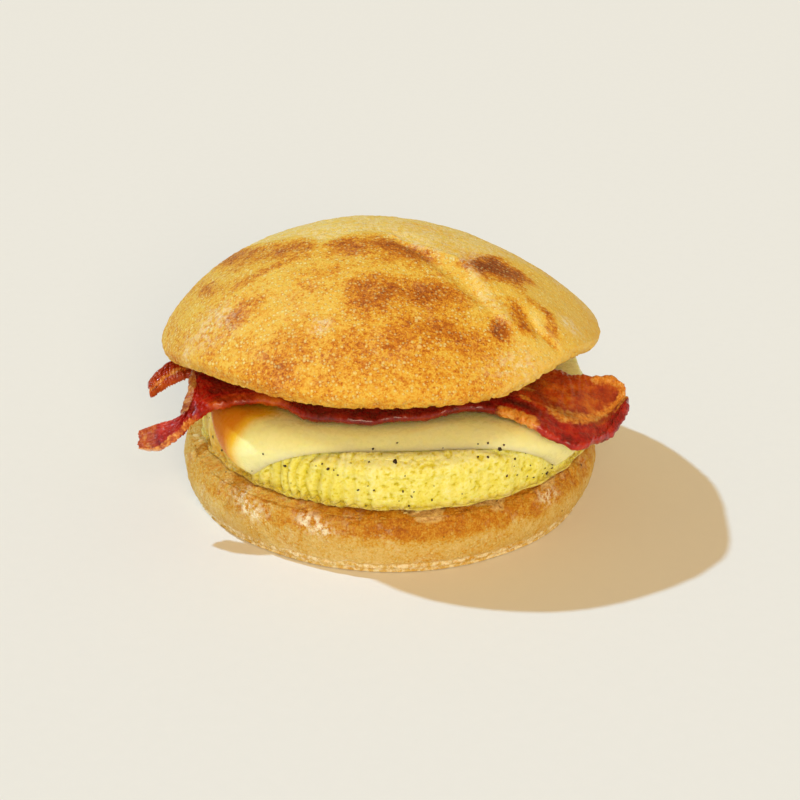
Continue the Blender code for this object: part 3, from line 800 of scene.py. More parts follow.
def make_heel(material):
    """Lower half: browned towards the cut, floury at the base, torn open along the cut in places."""
    shares = ring_steps((0.0, 0.2, 8), (0.2, 0.84, 92), (0.84, 1.0, 12))
    rings, reach, height, angle = heel_rings(shares, round_angles(HEEL_SIDES))
    normals = grid_normals(rings)
    turn = np.degrees(angle)
    skin = noise_at(rings, HEEL_LUMP, 2.0, 4)
    small = noise_at(rings, CRUST_GRAIN, 6.0, 3)
    near, _ = cells_at(rings, HEEL_BLISTER, 4.0)
    out = rise(reach, 0.86, 0.06)
    # The flat cut shows open crumb, and reaches further out where the crust is torn
    torn = sum(np.exp(-((turn_distance(turn, at) / wide) ** 4)) for at, wide in TORN_PLACES)
    open_reach = 0.88 + 0.085 * np.clip(torn * (1.0 + 0.5 * skin), 0.0, 1.0)
    cut = rise(height, 0.86, 0.08) * (1.0 - rise(reach, open_reach, 0.012))
    relief = crust_relief(skin, near, small, HEEL_CRUST)
    relief -= HEEL_BASE_CREASE * bell(height - 0.14 - 0.03 * skin, 0.03) * out
    relief = relief * (1.0 - cut) - cut * (0.1 + HEEL_HOLES * crumb_holes(rings, HEEL_HOLE))
    rim = rise(reach, 0.87, 0.02) * rise(height, 0.8, 0.1) * (1.0 - cut)
    relief += rim * (0.15 + HEEL_RIM_ROUGHNESS * noise_at(rings, HEEL_RIM_LUMP, 15.0, 3))
    relief *= np.clip(reach / 0.3, 0.0, 1.0) * smooth_step(height / 0.04)
    rings = rings + normals * (MM * relief)[..., None]
    # A browned band under the cut, strongest in front
    band = rise(height - 0.14 * skin, BAND_START, BAND_WIDTH) * (1.0 - cut)
    ahead = bell(turn_distance(turn, FRONT_TURN), FRONT_HALF_TURN)
    toast = HEEL_TOAST + 0.07 * skin + band * (BAND_TOAST + BAND_FRONT_TOAST * ahead)
    toast += 0.10 * band * np.clip(small, -0.5, 1.0)
    flour = 1.6 * bell(height - 0.05, 0.10) * out + 0.2 * rise(skin, 0.2, 0.3) * out
    for at, high in FLOURED_PLACES:
        flour = flour + 1.2 * bell(turn_distance(turn, at), 3.5) * bell(height - high, 0.13) * out
    blister = np.clip(0.55 + 0.5 * skin - 0.35 * band, 0.12, 1.0) * out
    values = {"toast": toast, "flour": np.clip(flour, 0.0, 1.0), "blister": blister, "crumb": cut}
    piece = turned_piece("lower_half", rings, material, values)
    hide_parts("bottom_bun")
    return piece


def egg_radius(angle):
    return EGG_RADIUS + EGG_UNEVENNESS * noise_at(stack(np.cos(angle), np.sin(angle), 0.0), 0.7, 8.0)


def beyond_slice(x, y):
    """Distance to the outside of the slice's straight outline, seen from above; negative inside it."""
    dx, dy = x - CHEESE_CENTRE[0], y - CHEESE_CENTRE[1]
    side_x = np.abs(dx * math.cos(CHEESE_TURN) + dy * math.sin(CHEESE_TURN)) - 0.5 * CHEESE_SIZE[0]
    side_y = np.abs(dy * math.cos(CHEESE_TURN) - dx * math.sin(CHEESE_TURN)) - 0.5 * CHEESE_SIZE[1]
    return np.maximum(side_x, side_y)


def egg_rings(shares, angles):
    """Egg patty: rippled wall and a round shoulder."""
    share, angle = np.meshgrid(shares, angles, indexing="ij")
    outline = smooth_through(EGG_OUTLINE, share)
    reach, height = outline[..., 0], np.clip(outline[..., 1], 0.0, 1.0)
    out = rise(reach, RIPPLE_START_REACH, RIPPLE_FULL_REACH - RIPPLE_START_REACH)
    low = fall(height, RIPPLE_HIGH_HEIGHT, RIPPLE_HIGH_HEIGHT - RIPPLE_LOW_HEIGHT)
    ripple = EGG_RIPPLE * out * low * (np.sin(EGG_RIPPLES * angle) - 1.0)
    radius = egg_radius(angles)[None, :] * reach + ripple
    x = EGG_CENTRE[0] + radius * np.cos(angle)
    y = EGG_CENTRE[1] + radius * np.sin(angle)
    return stack(x, y, EGG_BOTTOM + (EGG_TOP - EGG_BOTTOM) * height), reach, height, angle


def make_egg(material):
    """Egg patty: fluted, pitted wall that turns over into the flat top under the cheese."""
    shares = ring_steps((0.0, 0.2, 6), (0.2, 0.84, 86), (0.84, 1.0, 6))
    rings, reach, height, angle = egg_rings(shares, round_angles(EGG_SIDES))
    normals = grid_normals(rings)
    wall = rise(reach, 0.84, 0.04)
    # Upright flutes where the egg pulled away from its ring, strongest at the front left
    turn = np.degrees(angle)
    fluted = 0.2 + 0.72 * bell(turn_distance(turn, FLUTED_TURN), 17.0)
    wander = noise_at(stack(np.cos(angle), np.sin(angle), 0.3 * height), 0.22, 12.0)
    flutes = 0.5 - 0.5 * np.cos(FLUTE_COUNT * angle + 5.0 * wander)
    flutes = flutes**2 * fluted * (0.55 + 0.45 * fall(height, 0.99, 0.3))
    streaks = np.clip(0.5 + noise_at(rings * (1.0, 1.0, 0.3), EGG_STREAK, 3.0, 2), 0.0, 1.0)
    pores = rise(noise_at(rings, EGG_PORE, 21.0, 2), 0.26, 0.3)
    small = rise(noise_at(rings, EGG_SMALL_PORE, 27.0), 0.2, 0.3)
    soft = noise_at(rings, EGG_LUMP, 5.0, 3)
    depth = EGG_FLUTES * flutes + 0.22 * streaks + EGG_PORES * pores + 0.1 * small
    depth += 0.15 * np.clip(0.5 + soft, 0.0, 1.0)
    # Clear of the slice, the shoulder stands up fuller
    clear = rise(beyond_slice(rings[..., 0], rings[..., 1]), 0.5 * MM, 2.0 * MM)
    full = FULLER_SHOULDER * rise(reach, 0.85, 0.05) * rise(height, 0.55, 0.3) * clear
    rings = rings + normals * (MM * (full - depth * wall))[..., None]
    # Painted shade: darker, greener colour in the pores, streaks and flutes, with less of it near the top,
    # where the shoulder is painted light
    pit_shade = 0.12 + 0.5 * pores + 0.2 * streaks + 0.28 * flutes + 0.2 * small + 0.12 * soft
    pit_shade = wall * np.clip(pit_shade - 0.22 * rise(height, 0.72, 0.2), 0.0, 1.0)
    # Browned skin at the left, deepened there by painted shade under the cheese, and painted shade along
    # the bottom where the egg sits on the roll
    skin = 0.85 * bell(turn_distance(turn, BROWNED_TURN), 16.0) * wall * fall(height, 1.0, 0.2)
    skin += 0.3 * wall * fall(height, 0.12, 0.1)
    piece = turned_piece("egg", rings, material, {"pit_shade": pit_shade, "skin": np.clip(skin, 0.0, 1.0)})
    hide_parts("egg_patty")
    return piece


def rounded_steps(count, margin):
    """Shares from 0 to 1: even steps, with closer ones at each end for a rounded edge."""
    turn = np.linspace(0.0, 0.5 * math.pi, 6)[:-1]
    rim = margin * (1.0 - np.cos(turn))
    inner = np.linspace(margin, 1.0 - margin, count)
    return np.concatenate([rim, inner, 1.0 - rim[::-1]])


def thin_grid(middle, rounding, size, counts, ragged=None):
    """Middle points, outward directions and share of the thickness of a thin body, with u and v."""
    us = rounded_steps(counts[0], rounding / size[0])
    vs = rounded_steps(counts[1], rounding / size[1])
    u, v = np.meshgrid(us, vs, indexing="ij")
    edge = np.minimum.reduce([u * size[0], (1.0 - u) * size[0], v * size[1], (1.0 - v) * size[1]])
    inward = 1.0 - np.minimum(edge / rounding, 1.0)
    share = np.sqrt(np.maximum(1.0 - inward * inward, 0.0))
    if ragged:
        u, v = ragged(u, v)
    nudge = 0.001
    centre = middle(u, v)
    along = middle(np.minimum(u + nudge, u.max()), v) - middle(np.maximum(u - nudge, u.min()), v)
    across = middle(u, np.minimum(v + nudge, v.max())) - middle(u, np.maximum(v - nudge, v.min()))
    normal = np.cross(along, across)
    normal = normal / np.linalg.norm(normal, axis=-1, keepdims=True)
    return centre, normal, share, u, v


def thin_piece(name, above, below, material, values):
    """A closed piece from two grids of points that meet along their edges."""
    rows, columns = above.shape[:2]
    upper = np.arange(rows * columns).reshape(rows, columns)
    inside = np.zeros((rows, columns), dtype=bool)
    inside[1:-1, 1:-1] = True
    lower = upper.copy()
    lower[inside] = rows * columns + np.arange(inside.sum())
    points = np.vstack([above.reshape(-1, 3), below[inside]])
    faces = []
    for ids, order in ((upper, (0, 1, 2, 3)), (lower, (0, 3, 2, 1))):
        corners = (ids[:-1, :-1], ids[1:, :-1], ids[1:, 1:], ids[:-1, 1:])
        faces += np.stack([corners[k] for k in order], axis=-1).reshape(-1, 4).tolist()
    flat = {label: np.concatenate([n.ravel(), n[inside]]) for label, n in values.items()}
    return mesh_piece(name, points, faces, material, flat)


def draped(x, y):
    """Where a point of the flat slice goes when its outer parts bend down over the egg."""
    dx, dy = x - EGG_CENTRE[0], y - EGG_CENTRE[1]
    flat, angle = np.hypot(dx, dy), np.arctan2(dy, dx)
    lift = CHEESE_CLEARANCE + 0.5 * CHEESE_THICKNESS
    bend = EGG_SHOULDER + lift
    start = egg_radius(angle) - EGG_SHOULDER
    top = EGG_TOP + lift
    beyond = flat - start
    quarter = bend * 0.5 * math.pi
    on_bend = np.clip(beyond, 0.0, quarter) / bend
    hanging = np.maximum(beyond - quarter, 0.0)
    room = top - bend - CHEESE_FOOT
    reach = np.where(beyond <= 0.0, flat, start + bend * np.sin(on_bend))
    reach = reach + CHEESE_FLARE * np.maximum(hanging - room, 0.0)
    z = top - bend * (1.0 - np.cos(on_bend)) - np.minimum(hanging, room)
    return stack(EGG_CENTRE[0] + reach * np.cos(angle), EGG_CENTRE[1] + reach * np.sin(angle), z)


def cheese_middle(u, v):
    side_x, side_y = 2.0 * u - 1.0, 2.0 * v - 1.0
    x = 0.5 * side_x * CHEESE_SIZE[0] * (1.0 - CHEESE_CORNER * side_y**CORNER_SHARPNESS)
    y = 0.5 * side_y * CHEESE_SIZE[1] * (1.0 - CHEESE_CORNER * side_x**CORNER_SHARPNESS)
    turned_x = x * math.cos(CHEESE_TURN) - y * math.sin(CHEESE_TURN)
    turned_y = x * math.sin(CHEESE_TURN) + y * math.cos(CHEESE_TURN)
    return draped(CHEESE_CENTRE[0] + turned_x, CHEESE_CENTRE[1] + turned_y)


def melted_front(u, v):
    """Lets the front edge of the slice run a little way down the egg."""
    near = np.clip(1.0 - v / MELT_START, 0.0, 1.0)
    return u, v - MELT_REACH * near


def make_cheese(material):
    """The slice, sagged onto the egg, with fat and painted shade under the bacon."""
    grid = thin_grid(cheese_middle, CHEESE_ROUNDING, CHEESE_SIZE, CHEESE_STEPS, melted_front)
    centre, normal, share, _, v = grid
    soft = noise_at(centre, 12.0 * MM, 7.0, 2)
    small = noise_at(centre, 3.0 * MM, 17.0, 2)
    # The edge has melted down onto the egg, so both faces meet at the lower one
    under = 0.5 * CHEESE_THICKNESS + 0.85 * CHEESE_CLEARANCE
    over = 0.5 * CHEESE_THICKNESS - MM * (0.12 + 0.12 * soft + 0.03 * small)
    run_out = np.clip((v + MELT_REACH) / MELT_TAPER, 0.0, 1.0)
    share = share * run_out * (2.0 - run_out)
    above = centre + normal * (over * share - under * (1.0 - share))[..., None]
    below = centre - normal * under
    x, y = centre[..., 0] / MM, centre[..., 1] / MM
    # Melted fat and painted shade in front of the bacon's edge, further at the left
    front_edge = smooth_through([section[0] for section in FRONT_SECTIONS], np.linspace(0.0, 1.0, 400))
    edge_y = np.interp(x, front_edge[:, 0], front_edge[:, 1])
    at_left = fall(x, -20.0, 12.0)
    spread = 1.6 + 6.4 * at_left
    grease_and_shade = (0.10 + 0.84 * at_left) * rise(y + spread * (1.0 + 0.4 * soft), edge_y, spread)
    grease_and_shade *= (1.0 - 0.8 * rise(y, -10.0, 14.0)) * (1.0 - 0.7 * rise(x, 20.0, 10.0))
    # More fat and painted shade on the slice's left lobe
    grease_and_shade += 0.6 * patch(x, y, -37.0, -25.0, 5.0, 8.0, 20.0, wander=soft)
    piece = thin_piece("cheese", above, below, material, {"grease_and_shade": np.clip(grease_and_shade, 0.0, 1.0)})
    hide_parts("cheese_slice")
    return piece


def strip_middle(strip):
    """The surface of a bacon strip: u runs along it from the left tail, v from front to back."""
    front = [section[0] for section in strip["sections"]]
    back = [section[1] for section in strip["sections"]]
    sag = [(section[2],) for section in strip["sections"]]

    def middle(u, v):
        near = smooth_through(front, u) * MM
        far = smooth_through(back, u) * MM
        drop = smooth_through(sag, u)[..., 0] * MM
        point = near + (far - near) * v[..., None]
        point[..., 2] -= drop * 4.0 * v * (1.0 - v)
        phase = 2.0 * math.pi * (point[..., 0] + 0.4 * point[..., 1]) / BACON_WAVE_LENGTH + strip["phase"]
        point[..., 2] += BACON_WAVE * (1.0 + np.sin(phase)) * 0.5
        return point

    return middle


def ragged_strip(seed, reach):
    """Wavers a strip's outline inwards, by up to the given shares of its length at its two ends."""

    def ragged(u, v):
        ends = noise_at(stack(0.0, v, 0.0), 0.22, seed, 2)
        start = reach[0] * np.clip(0.5 + ends, 0.0, 1.0)
        end = reach[1] * np.clip(0.7 + ends, 0.0, 1.0)
        near = RAGGED_SIDES * np.clip(0.4 + noise_at(stack(u, 0.0, 0.0), 0.035, seed + 5.0, 2), 0.0, 1.0)
        far = RAGGED_SIDES * np.clip(0.4 + noise_at(stack(u, 0.0, 0.0), 0.04, seed + 9.0, 2), 0.0, 1.0)
        return start + (1.0 - start - end) * u, near + (1.0 - near - far) * v

    return ragged


def make_strip(name, node, strip, bands, material):
    """A bacon strip: beaded rims, ridges along it and bubbles, with bands of fat and lean."""
    size, seed, thickness = strip["size"], strip["seed"], strip["thickness"]
    ragged = ragged_strip(seed, strip["ragged"])
    grid = thin_grid(strip_middle(strip), 0.5 * thickness, size, strip["steps"], ragged)
    centre, normal, share, u, v = grid
    along, across = u * size[0], v * size[1]
    flat = stack(along, across, 0.0)
    wander = noise_at(flat, 8.0 * MM, seed + 1.0, 2)
    wrinkle = noise_at(flat * (1.0, 0.3, 1.0), BACON_WRINKLE, seed + 2.0, 2)
    ridges = noise_at(flat * (0.2, 1.0, 1.0), BACON_RIDGE, seed + 3.0, 2)
    bubbles, _ = cells_at(flat, BACON_BUBBLE, seed + 4.0)
    rim = bell(across, RIM_WIDTH) + bell(size[1] - across, RIM_WIDTH)
    beads = 0.5 + 0.5 * np.cos(2.0 * math.pi * along / BEAD_SPACING + 4.0 * wander)
    relief = 0.22 * wrinkle + 0.22 * ridges + 0.2 * (0.45 - bubbles)
    relief += 0.32 * rim * (beads - 0.8) * (0.8 + 0.8 * wander)
    half = share * (0.5 * thickness + MM * np.clip(relief - 0.1, -0.55, 0.12))
    above = centre + normal * half[..., None]
    below = centre - normal * half[..., None]
    fat, crisp, dark = bands(centre / MM, v, wander)
    values = {"fat": fat, "crisp": crisp, "dark": dark}
    values = {label: np.clip(numbers, 0.0, 1.0) for label, numbers in values.items()}
    piece = thin_piece(name, above, below, material, values)
    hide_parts(node)
    return piece


def front_bands(place, v, wander):
    """Fat, crisp and painted-shade parts of the front strip, by the place in millimetres and the share
    across.
    """
    x = place[..., 0]
    right = rise(x, 32.0, 4.0)
    # Fat: a streak along the broad end, its back edge and tip, the frill before it and the tail's rims
    middle = 0.31 + 0.016 * np.clip(x - 38.0, 0.0, 14.0) + 0.03 * wander
    streak = bell(v - middle, 0.085) * right
    back = rise(v + 0.04 * wander, 0.80, 0.08) * rise(x, 43.0, 4.0)
    tip = rise(x - wander, 49.5, 2.0) * rise(v, 0.22, 0.12)
    frill = rise(x, 22.0, 3.0) * fall(x, 33.5, 3.0) * fall(v, 0.13, 0.05)
    tail_line = fall(x, -40.0, 3.0) * fall(v, 0.11, 0.08)
    left_edge = rise(v + 0.05 * wander, 0.84, 0.08) * fall(x, -35.0, 4.0) * rise(x, -46.0, 2.0)
    tail_end = fall(x, -49.2, 1.6)
    bits = blob(x, v, 30.3, 0.48, 1.6, 0.04, 0.0) + blob(x, v, 29.6, 0.32, 1.4, 0.04, 0.0)
    fat = 0.9 * streak + 0.9 * back + tip + 0.75 * frill + 0.6 * tail_line + 0.55 * left_edge
    fat += 0.32 * tail_end + bits
    # Crisp: the inside of the broad end, the bend before it, the rim at the left and the tail's end
    inner = right * rise(v, 0.38, 0.12)
    brown = rise(x, 24.0, 4.0) * rise(v, 0.26, 0.08) * (1.0 - inner)
    left_rim = rise(x, -40.0, 3.0) * fall(x, -19.0, 4.0) * fall(v, 0.2, 0.1)
    crisp = 0.95 * inner + 0.75 * brown + 0.75 * left_rim + tail_end + 0.5 * left_edge
    # Painted shade: the rim in front, over its dark fried lean, the shadow in the valley beside the broad
    # end and the part under the roll
    front = rise(x, -21.0, 4.0) * fall(x, 25.0, 4.0)
    valley = blob(x, v, 28.5, 0.19, 5.0, 0.055, 0.0)
    shade = rise(x, -41.0, 4.0) * fall(x, 28.0, 4.0) * rise(v, 0.22, 0.1)
    dark = 0.5 * front + 0.9 * valley + 0.45 * shade + 0.45 * brown * np.clip(0.5 + wander, 0.0, 1.0)
    return fat, crisp, dark + 0.25 * left_edge


def back_bands(place, v, wander):
    """Fat, crisp lean and darker parts of the back strip, whose browned tail shows at the left."""
    x = place[..., 0]
    tail = fall(x, -43.0, 4.0)
    streak = bell(v - 0.6 - 0.12 * wander, 0.12) * (1.0 - tail)
    strand = bell(v - 0.36 - 0.06 * wander, 0.2) * tail
    fat = 0.8 * streak + 0.62 * strand
    crisp = 0.3 + 0.6 * tail * fall(v, 0.7, 0.2)
    dark = 0.3 * tail * rise(v, 0.6, 0.2) + 0.8 * blob(x, v, -52.4, 0.16, 0.7, 0.07, 0.0)
    return fat, crisp, dark


def rim_height(x, y):
    """Height of the cut face of the upper half: lifted in front, lower at the back."""
    lift = RIM_FRONT_LIFT * smooth_step(-y / RIM_REACH)
    drop = RIM_BACK_DROP * smooth_step(y / RIM_REACH)
    turn = np.degrees(np.arctan2(y - CROWN_CENTRE[1], x - CROWN_CENTRE[0]))
    outward = np.hypot(x - CROWN_CENTRE[0], y - CROWN_CENTRE[1]) / CROWN_RADIUS[0]
    wave = sum(high * np.exp(-(((turn - at) / wide) ** 2)) for at, wide, high in RIM_WAVES)
    return RIM_HEIGHT + lift - drop + RIM_ROLL * x + wave * outward**3


def seam_groove(x, y):
    """Depth of the shallow valley along the seam, which fades towards its ends."""
    run_x, run_y = SEAM_END[0] - SEAM_START[0], SEAM_END[1] - SEAM_START[1]
    length = math.hypot(run_x, run_y)
    from_x, from_y = x - SEAM_START[0], y - SEAM_START[1]
    along = (from_x * run_x + from_y * run_y) / length**2
    aside = (from_x * run_y - from_y * run_x) / length
    ends = rise(along, 0.0, SEAM_FADE) * fall(along, 1.0, SEAM_FADE)
    return SEAM_DEPTH * ends * bell(aside, SEAM_WIDTH)


def fold_dent(x, y):
    return FOLD_DEPTH * blob(x, y, *FOLD_MIDDLE, FOLD_LENGTH, FOLD_WIDTH, FOLD_TURN)


def crown_rings(shares, angles):
    """Upper half of the roll: cut face, rounded lip and a slightly pointed dome."""
    share, angle = np.meshgrid(shares, angles, indexing="ij")
    cos_a, sin_a = np.cos(angle), np.sin(angle)
    wide_x, wide_y = CROWN_RADIUS[0] * cos_a, CROWN_RADIUS[1] * sin_a
    rim_z = rim_height(CROWN_CENTRE[0] + wide_x, CROWN_CENTRE[1] + wide_y)
    inner = 1.0 - LIP_INSET / CROWN_RADIUS[0]
    on_face, on_dome = share <= UNDERSIDE_SHARE, share > LIP_SHARE
    face_reach = inner * share / UNDERSIDE_SHARE
    face_z = rim_height(CROWN_CENTRE[0] + wide_x * face_reach, CROWN_CENTRE[1] + wide_y * face_reach)
    lip_turn = 0.5 * math.pi * np.clip((share - UNDERSIDE_SHARE) / (LIP_SHARE - UNDERSIDE_SHARE), 0.0, 1.0)
    dome_turn = 0.5 * math.pi * np.clip((share - LIP_SHARE) / (1.0 - LIP_SHARE), 0.0, 1.0)
    lip_reach = inner + (1.0 - inner) * np.sin(lip_turn)
    reach = np.where(on_dome, np.cos(dome_turn), np.where(on_face, face_reach, lip_reach))
    climb = np.maximum(1.0 - np.cos(dome_turn) ** CROWN_ROUNDNESS, 0.0) ** (1.0 / FLANK_FULLNESS)
    climb = np.where(on_dome, climb, 0.0)
    lip_z = rim_z + LIP_HEIGHT * (1.0 - np.cos(lip_turn))
    foot = rim_z + LIP_HEIGHT
    z = np.where(on_dome, foot + (CROWN_TOP - foot) * climb, np.where(on_face, face_z, lip_z))
    x = CROWN_CENTRE[0] + (CROWN_PEAK[0] - CROWN_CENTRE[0]) * climb + wide_x * reach
    y = CROWN_CENTRE[1] + (CROWN_PEAK[1] - CROWN_CENTRE[1]) * climb + wide_y * reach
    on_crust = rise(share, UNDERSIDE_SHARE, LIP_SHARE - UNDERSIDE_SHARE)
    swell = CROWN_UNEVENNESS * noise_at(stack(x, y, z), CROWN_LUMP, 5.0)
    swell = (swell - seam_groove(x, y) - fold_dent(x, y)) * on_crust
    sideways = SIDEWAYS_SHARE * swell
    return stack(x + sideways * cos_a, y + sideways * sin_a, z + swell), share, angle, on_crust


def even_dome_shares(count):
    """Shares of the crown's outline at even distances over its dome."""
    turn = np.linspace(0.0, 0.5 * math.pi, 2000)
    climb = (1.0 - np.cos(turn) ** CROWN_ROUNDNESS) ** (1.0 / FLANK_FULLNESS)
    out_steps = np.diff(CROWN_RADIUS[0] * np.cos(turn))
    up_steps = np.diff((CROWN_TOP - RIM_HEIGHT - LIP_HEIGHT) * climb)
    length = np.concatenate([[0.0], np.cumsum(np.hypot(out_steps, up_steps))])
    turns = np.interp(np.linspace(0.0, length[-1], count), length, turn)
    return LIP_SHARE + (1.0 - LIP_SHARE) * turns / (0.5 * math.pi)


def crown_toast(x, y, skin, wander, pale):
    """How brown the dome is, from 0 to 1, with painted shade at the left and painted light at the right
    that even out the key light; pale is 1 behind the crest.
    """
    front, low, left = fall(y, -12.0, 22.0), fall(y, -30.0, 16.0), fall(x, -22.0, 16.0)
    right, hidden = rise(x, 20.0, 14.0), rise(y, 10.0, 20.0)
    # Painted shade at the left and, further down, painted light at the right, against the key light from
    # the left
    toast = CROWN_TOAST + 0.05 * skin + 0.02 * front + 0.07 * low * (1.0 - left) + 0.09 * left
    for mark_x, mark_y, length, width, turn, darker in TOAST_MARKS:
        oval = (mark_x, mark_y, MARK_SPREAD * length, MARK_SPREAD * width, turn)
        toast = toast + darker * patch(x, y, *oval, wander=wander)
    paler = PALE_BACK * pale * (1.0 - right) * (1.0 - hidden) + PAINTED_LIGHT_RIGHT * right + PALE_HIDDEN * hidden
    return toast - paler


def crown_flour(x, y, skin, wander):
    flour = 0.06 * rise(skin, 0.2, 0.4)
    for *oval, strength in FLOUR_PATCHES:
        flour = flour + strength * patch(x, y, *oval, wander=wander)
    for *oval, strength in FLOUR_STREAKS:
        flour = flour + strength * blob(x, y, *oval)
    return flour


def make_crown(material):
    """Upper half: blistered dome with toasted marks, a pale seam, a small fold and a ragged lower edge."""
    under = ring_steps((0.0, UNDERSIDE_SHARE, 16), (UNDERSIDE_SHARE, LIP_SHARE, 14))
    shares = np.concatenate([under, even_dome_shares(DOME_STEPS)[1:]])
    rings, share, _, on_crust = crown_rings(shares, round_angles(CROWN_SIDES))
    x, y = rings[..., 0] / MM, rings[..., 1] / MM
    normals = grid_normals(rings)
    skin = noise_at(rings, CROWN_BUMP, 2.0, 4)
    small = noise_at(rings, CRUST_GRAIN, 6.0, 3)
    wander = noise_at(rings, CROWN_WANDER, 14.0, 3)
    near, _ = cells_at(rings, CROWN_BLISTER, 4.0)
    crest_x, crest_y = np.array(CREST_LINE).T
    behind = rise(y - np.interp(x, crest_x, crest_y) - 1.2 * wander, 0.0, 2.2)
    seam = bell(line_distance(x, y, SEAM_LINE) + 0.5 * wander, 1.3)
    crease = bell(line_distance(x, y, FOLD_LINE), 0.55) * on_crust
    ridge = bell(line_distance(x - FOLD_RIDGE_SHIFT[0], y - FOLD_RIDGE_SHIFT[1], FOLD_LINE), 0.8) * on_crust
    relief = crust_relief(skin, near, small, CROWN_CRUST) - PALE_SINK * behind
    relief += SEAM_RIDGE * seam - FOLD_CREASE * crease + FOLD_RIDGE * ridge
    edge = bell(share - UNDERSIDE_SHARE - 0.06, 0.06)
    relief -= edge * np.clip(0.3 + 1.5 * noise_at(rings, RAGGED_LIP, 31.0, 3), 0.0, 1.4)
    open_crumb = 1.0 - rise(share, UNDERSIDE_SHARE - 0.01, 0.03)
    holes = CROWN_HOLES * crumb_holes(rings, CROWN_HOLE) * smooth_step(share / 0.03)
    relief = relief * (1.0 - open_crumb) - open_crumb * holes
    rings = rings + normals * (MM * relief)[..., None]
    # Paler along the seam; painted shade in the fold's crease and a painted highlight on the ridge beside
    # it
    toast = crown_toast(x, y, skin, wander, behind) - 0.09 * seam - 0.08 * ridge + 0.28 * crease
    toast -= 0.12 * blob(x, y, 31.2, -26.6, 1.7, 2.8, 10.0)
    toast -= 0.07 * bell(share - UNDERSIDE_SHARE - 0.05, 0.05) * fall(x, -8.0, 14.0)
    pale = behind * (1.0 - rise(y, 10.0, 20.0))
    flour = crown_flour(x, y, skin, wander) + 0.35 * seam + 0.15 * ridge + 0.35 * pale
    blister = np.clip(0.95 + 0.35 * skin - 0.72 * pale - 0.12 * rise(x, 20.0, 14.0), 0.2, 1.0) * on_crust
    values = {"toast": toast, "flour": np.clip(flour * on_crust, 0.0, 1.0), "blister": blister}
    values["crumb"] = open_crumb
    piece = turned_piece("upper_half", rings, material, values)
    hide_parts("top_bun")
    return piece


def sight_line(pixel_x, pixel_y):
    """The direction from the camera through a pixel of the photograph's frame."""
    ahead = Vector((0.0, math.cos(CAMERA_ELEVATION), -math.sin(CAMERA_ELEVATION)))
    up = Vector((0.0, math.sin(CAMERA_ELEVATION), math.cos(CAMERA_ELEVATION)))
    step = SENSOR_MM / LENS_MM / IMAGE_SIZE
    middle = 0.5 * IMAGE_SIZE
    aside = Vector((1.0, 0.0, 0.0))
    return (ahead + aside * (pixel_x - middle) * step - up * (pixel_y - middle) * step).normalized()


def scatter_piece(name, grains, flatness, material):
    """One mesh of small grains, each given by its place, outward direction and size."""
    random = np.random.default_rng(PEPPER_SEED)
    joined = bmesh.new()
    for place, outward, size in grains:
        made = bmesh.ops.create_icosphere(joined, subdivisions=2, radius=0.5 * size)
        stretch = random.uniform(0.7, 1.25, 3)
        spin = Vector(outward).to_track_quat("Z", "Y").to_matrix().to_4x4()
        roll = random.uniform(0.0, 2.0 * math.pi)
        for vert in made["verts"]:
            rough = 1.0 + 0.5 * noise.noise(vert.co / (0.35 * size) + Vector((17.0 * roll, 0.0, 0.0)))
            x, y = vert.co.x * stretch[0] * rough, vert.co.y * stretch[1] * rough
            z = vert.co.z * flatness * rough
            turned = (x * math.cos(roll) - y * math.sin(roll), x * math.sin(roll) + y * math.cos(roll), z)
            vert.co = Vector(place) + spin @ Vector(turned)
    mesh = bpy.data.meshes.new(name)
    joined.to_mesh(mesh)
    joined.free()
    return riding_piece(name, mesh, material)


def surface_of(pieces):
    """A search tree over the faces of several pieces."""
    points, faces = [], []
    for piece in pieces:
        first = len(points)
        points += [vert.co.copy() for vert in piece.data.vertices]
        faces += [[first + index for index in face.vertices] for face in piece.data.polygons]
    return BVHTree.FromPolygons(points, faces)


def seen_places(pieces, pixels):
    """Where grains lie that the photograph shows: place, outward direction and size of each."""
    shown = surface_of(pieces)
    grains = []
    for pixel_x, pixel_y, size in pixels:
        place, outward, _, _ = shown.ray_cast(Vector(camera_place()), sight_line(pixel_x, pixel_y))
        if place is not None:
            grains.append((place, outward, size * MM))
    return grains


def make_pepper(egg, others, material):
    """Ground pepper where the photograph shows it, and drawn by seed round the rest of the egg's wall."""
    grains = seen_places([egg] + others, PEPPER_PIXELS)
    random = np.random.default_rng(PEPPER_SEED)
    wall = surface_of([egg])
    reach = 2.0 * EGG_RADIUS
    for _ in range(PEPPER_ROUND_COUNT):
        turn = math.radians(random.uniform(*PEPPER_ROUND_TURNS))
        high = EGG_BOTTOM + (EGG_TOP - EGG_BOTTOM) * random.uniform(*PEPPER_ROUND_HEIGHTS)
        size = MM * random.choice(PEPPER_ROUND_SIZES)
        outside = Vector((EGG_CENTRE[0] + reach * math.cos(turn), reach * math.sin(turn), high))
        inward = Vector((-math.cos(turn), -math.sin(turn), 0.0))
        place, outward, _, _ = wall.ray_cast(outside, inward)
        if place is not None:
            grains.append((place, outward, size))
    piece = scatter_piece("pepper", grains, PEPPER_FLATNESS, material)
    return piece


def make_crumbs(heel):
    """Crumbs torn from the lower half's cut, which lie along its edge."""
    grains = seen_places([heel], CRUMB_PIXELS)
    piece = scatter_piece("crumbs", grains, CRUMB_FLATNESS, heel.data.materials[0])
    return piece


def camera_place():
    reach = CAMERA_DISTANCE * math.cos(CAMERA_ELEVATION)
    height = CAMERA_DISTANCE * math.sin(CAMERA_ELEVATION)
    return (CAMERA_TARGET[0], CAMERA_TARGET[1] - reach, CAMERA_TARGET[2] + height)


def make_camera():
    data = bpy.data.cameras.new("camera")
    data.lens = LENS_MM
    data.sensor_width = SENSOR_MM
    camera = add_object("camera", data)
    camera.location = camera_place()
    camera.rotation_euler = (0.5 * math.pi - CAMERA_ELEVATION, 0.0, 0.0)
    bpy.context.scene.camera = camera


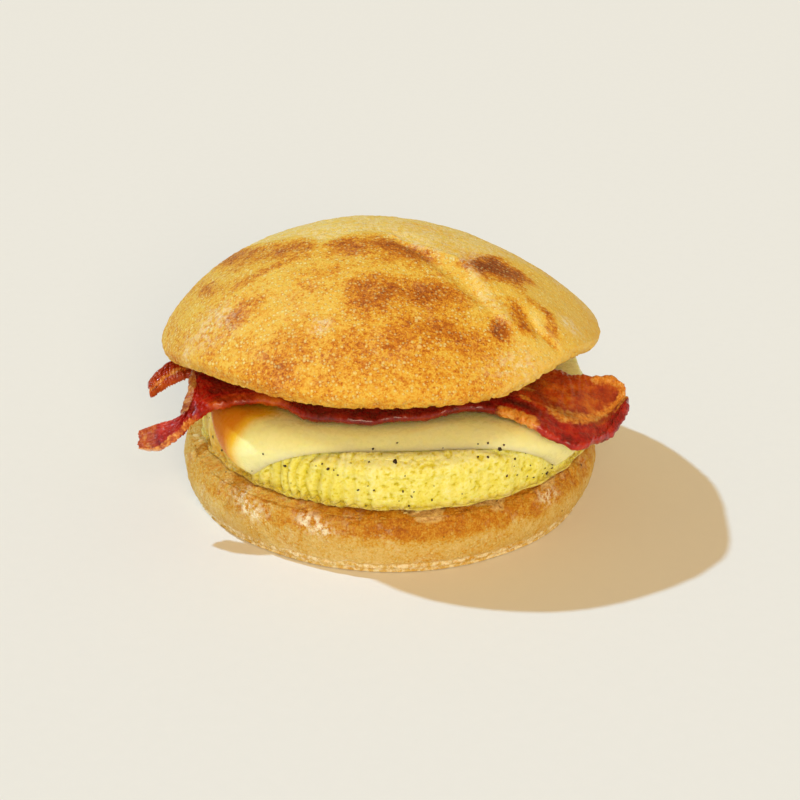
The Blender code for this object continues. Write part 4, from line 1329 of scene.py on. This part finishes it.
def add_sun(name, azimuth, elevation, spread, strength, colour):
    """Even light from one side; its spread softens the shadows."""
    data = bpy.data.lights.new(name, "SUN")
    data.energy = strength
    data.color = colour
    data.angle = spread
    light = add_object(name, data)
    flat = math.cos(elevation)
    source = Vector((flat * math.sin(azimuth), flat * math.cos(azimuth), math.sin(elevation)))
    light.location = source
    light.rotation_euler = (-source).to_track_quat("-Z", "Y").to_euler()


def make_studio():
    """Pale seamless floor, a small key light high at the left and soft warm light from the front."""
    made, tree, shader = new_material("pale_floor", 0.85, 0.2)
    place = place_of(tree)
    paint(tree, shader, mix(tree, grain(tree, place, PAPER_GRAIN, 4.0), *FLOOR_TONES))
    half = 0.5 * FLOOR_SIZE
    corners = [(x, y, 0.0) for x, y in ((-half, -half), (half, -half), (half, half), (-half, half))]
    mesh = bpy.data.meshes.new("floor")
    mesh.from_pydata(corners, [], [(0, 1, 2, 3)])
    mesh.materials.append(made)
    floor = add_object("floor", mesh)
    add_sun("key", KEY_AZIMUTH, KEY_ELEVATION, KEY_SPREAD, KEY_STRENGTH, KEY_COLOUR)
    add_sun("front", FRONT_AZIMUTH, FRONT_ELEVATION, FRONT_SPREAD, FRONT_STRENGTH, FRONT_COLOUR)
    world = bpy.data.worlds.new("studio")
    world.use_nodes = True
    background = world.node_tree.nodes["Background"]
    background.inputs["Color"].default_value = (*SKY_COLOUR, 1.0)
    background.inputs["Strength"].default_value = SKY_STRENGTH
    bpy.context.scene.world = world
    bpy.context.scene.view_settings.view_transform = "Standard"


def main():
    make_camera()
    make_studio()
    make_crown(crust_material("golden_crust", CROWN_STOPS, CROWN_DOTS))
    heel = make_heel(crust_material("pale_crust", HEEL_STOPS, HEEL_DOTS))
    egg = make_egg(egg_material())
    cheese = make_cheese(cheese_material())
    bacon = bacon_material()
    make_strip("bacon_near", "bacon_front", FRONT_STRIP, front_bands, bacon)
    make_strip("bacon_far", "bacon_back", BACK_STRIP, back_bands, bacon)
    make_pepper(egg, [cheese, heel], pepper_material())
    make_crumbs(heel)


main()
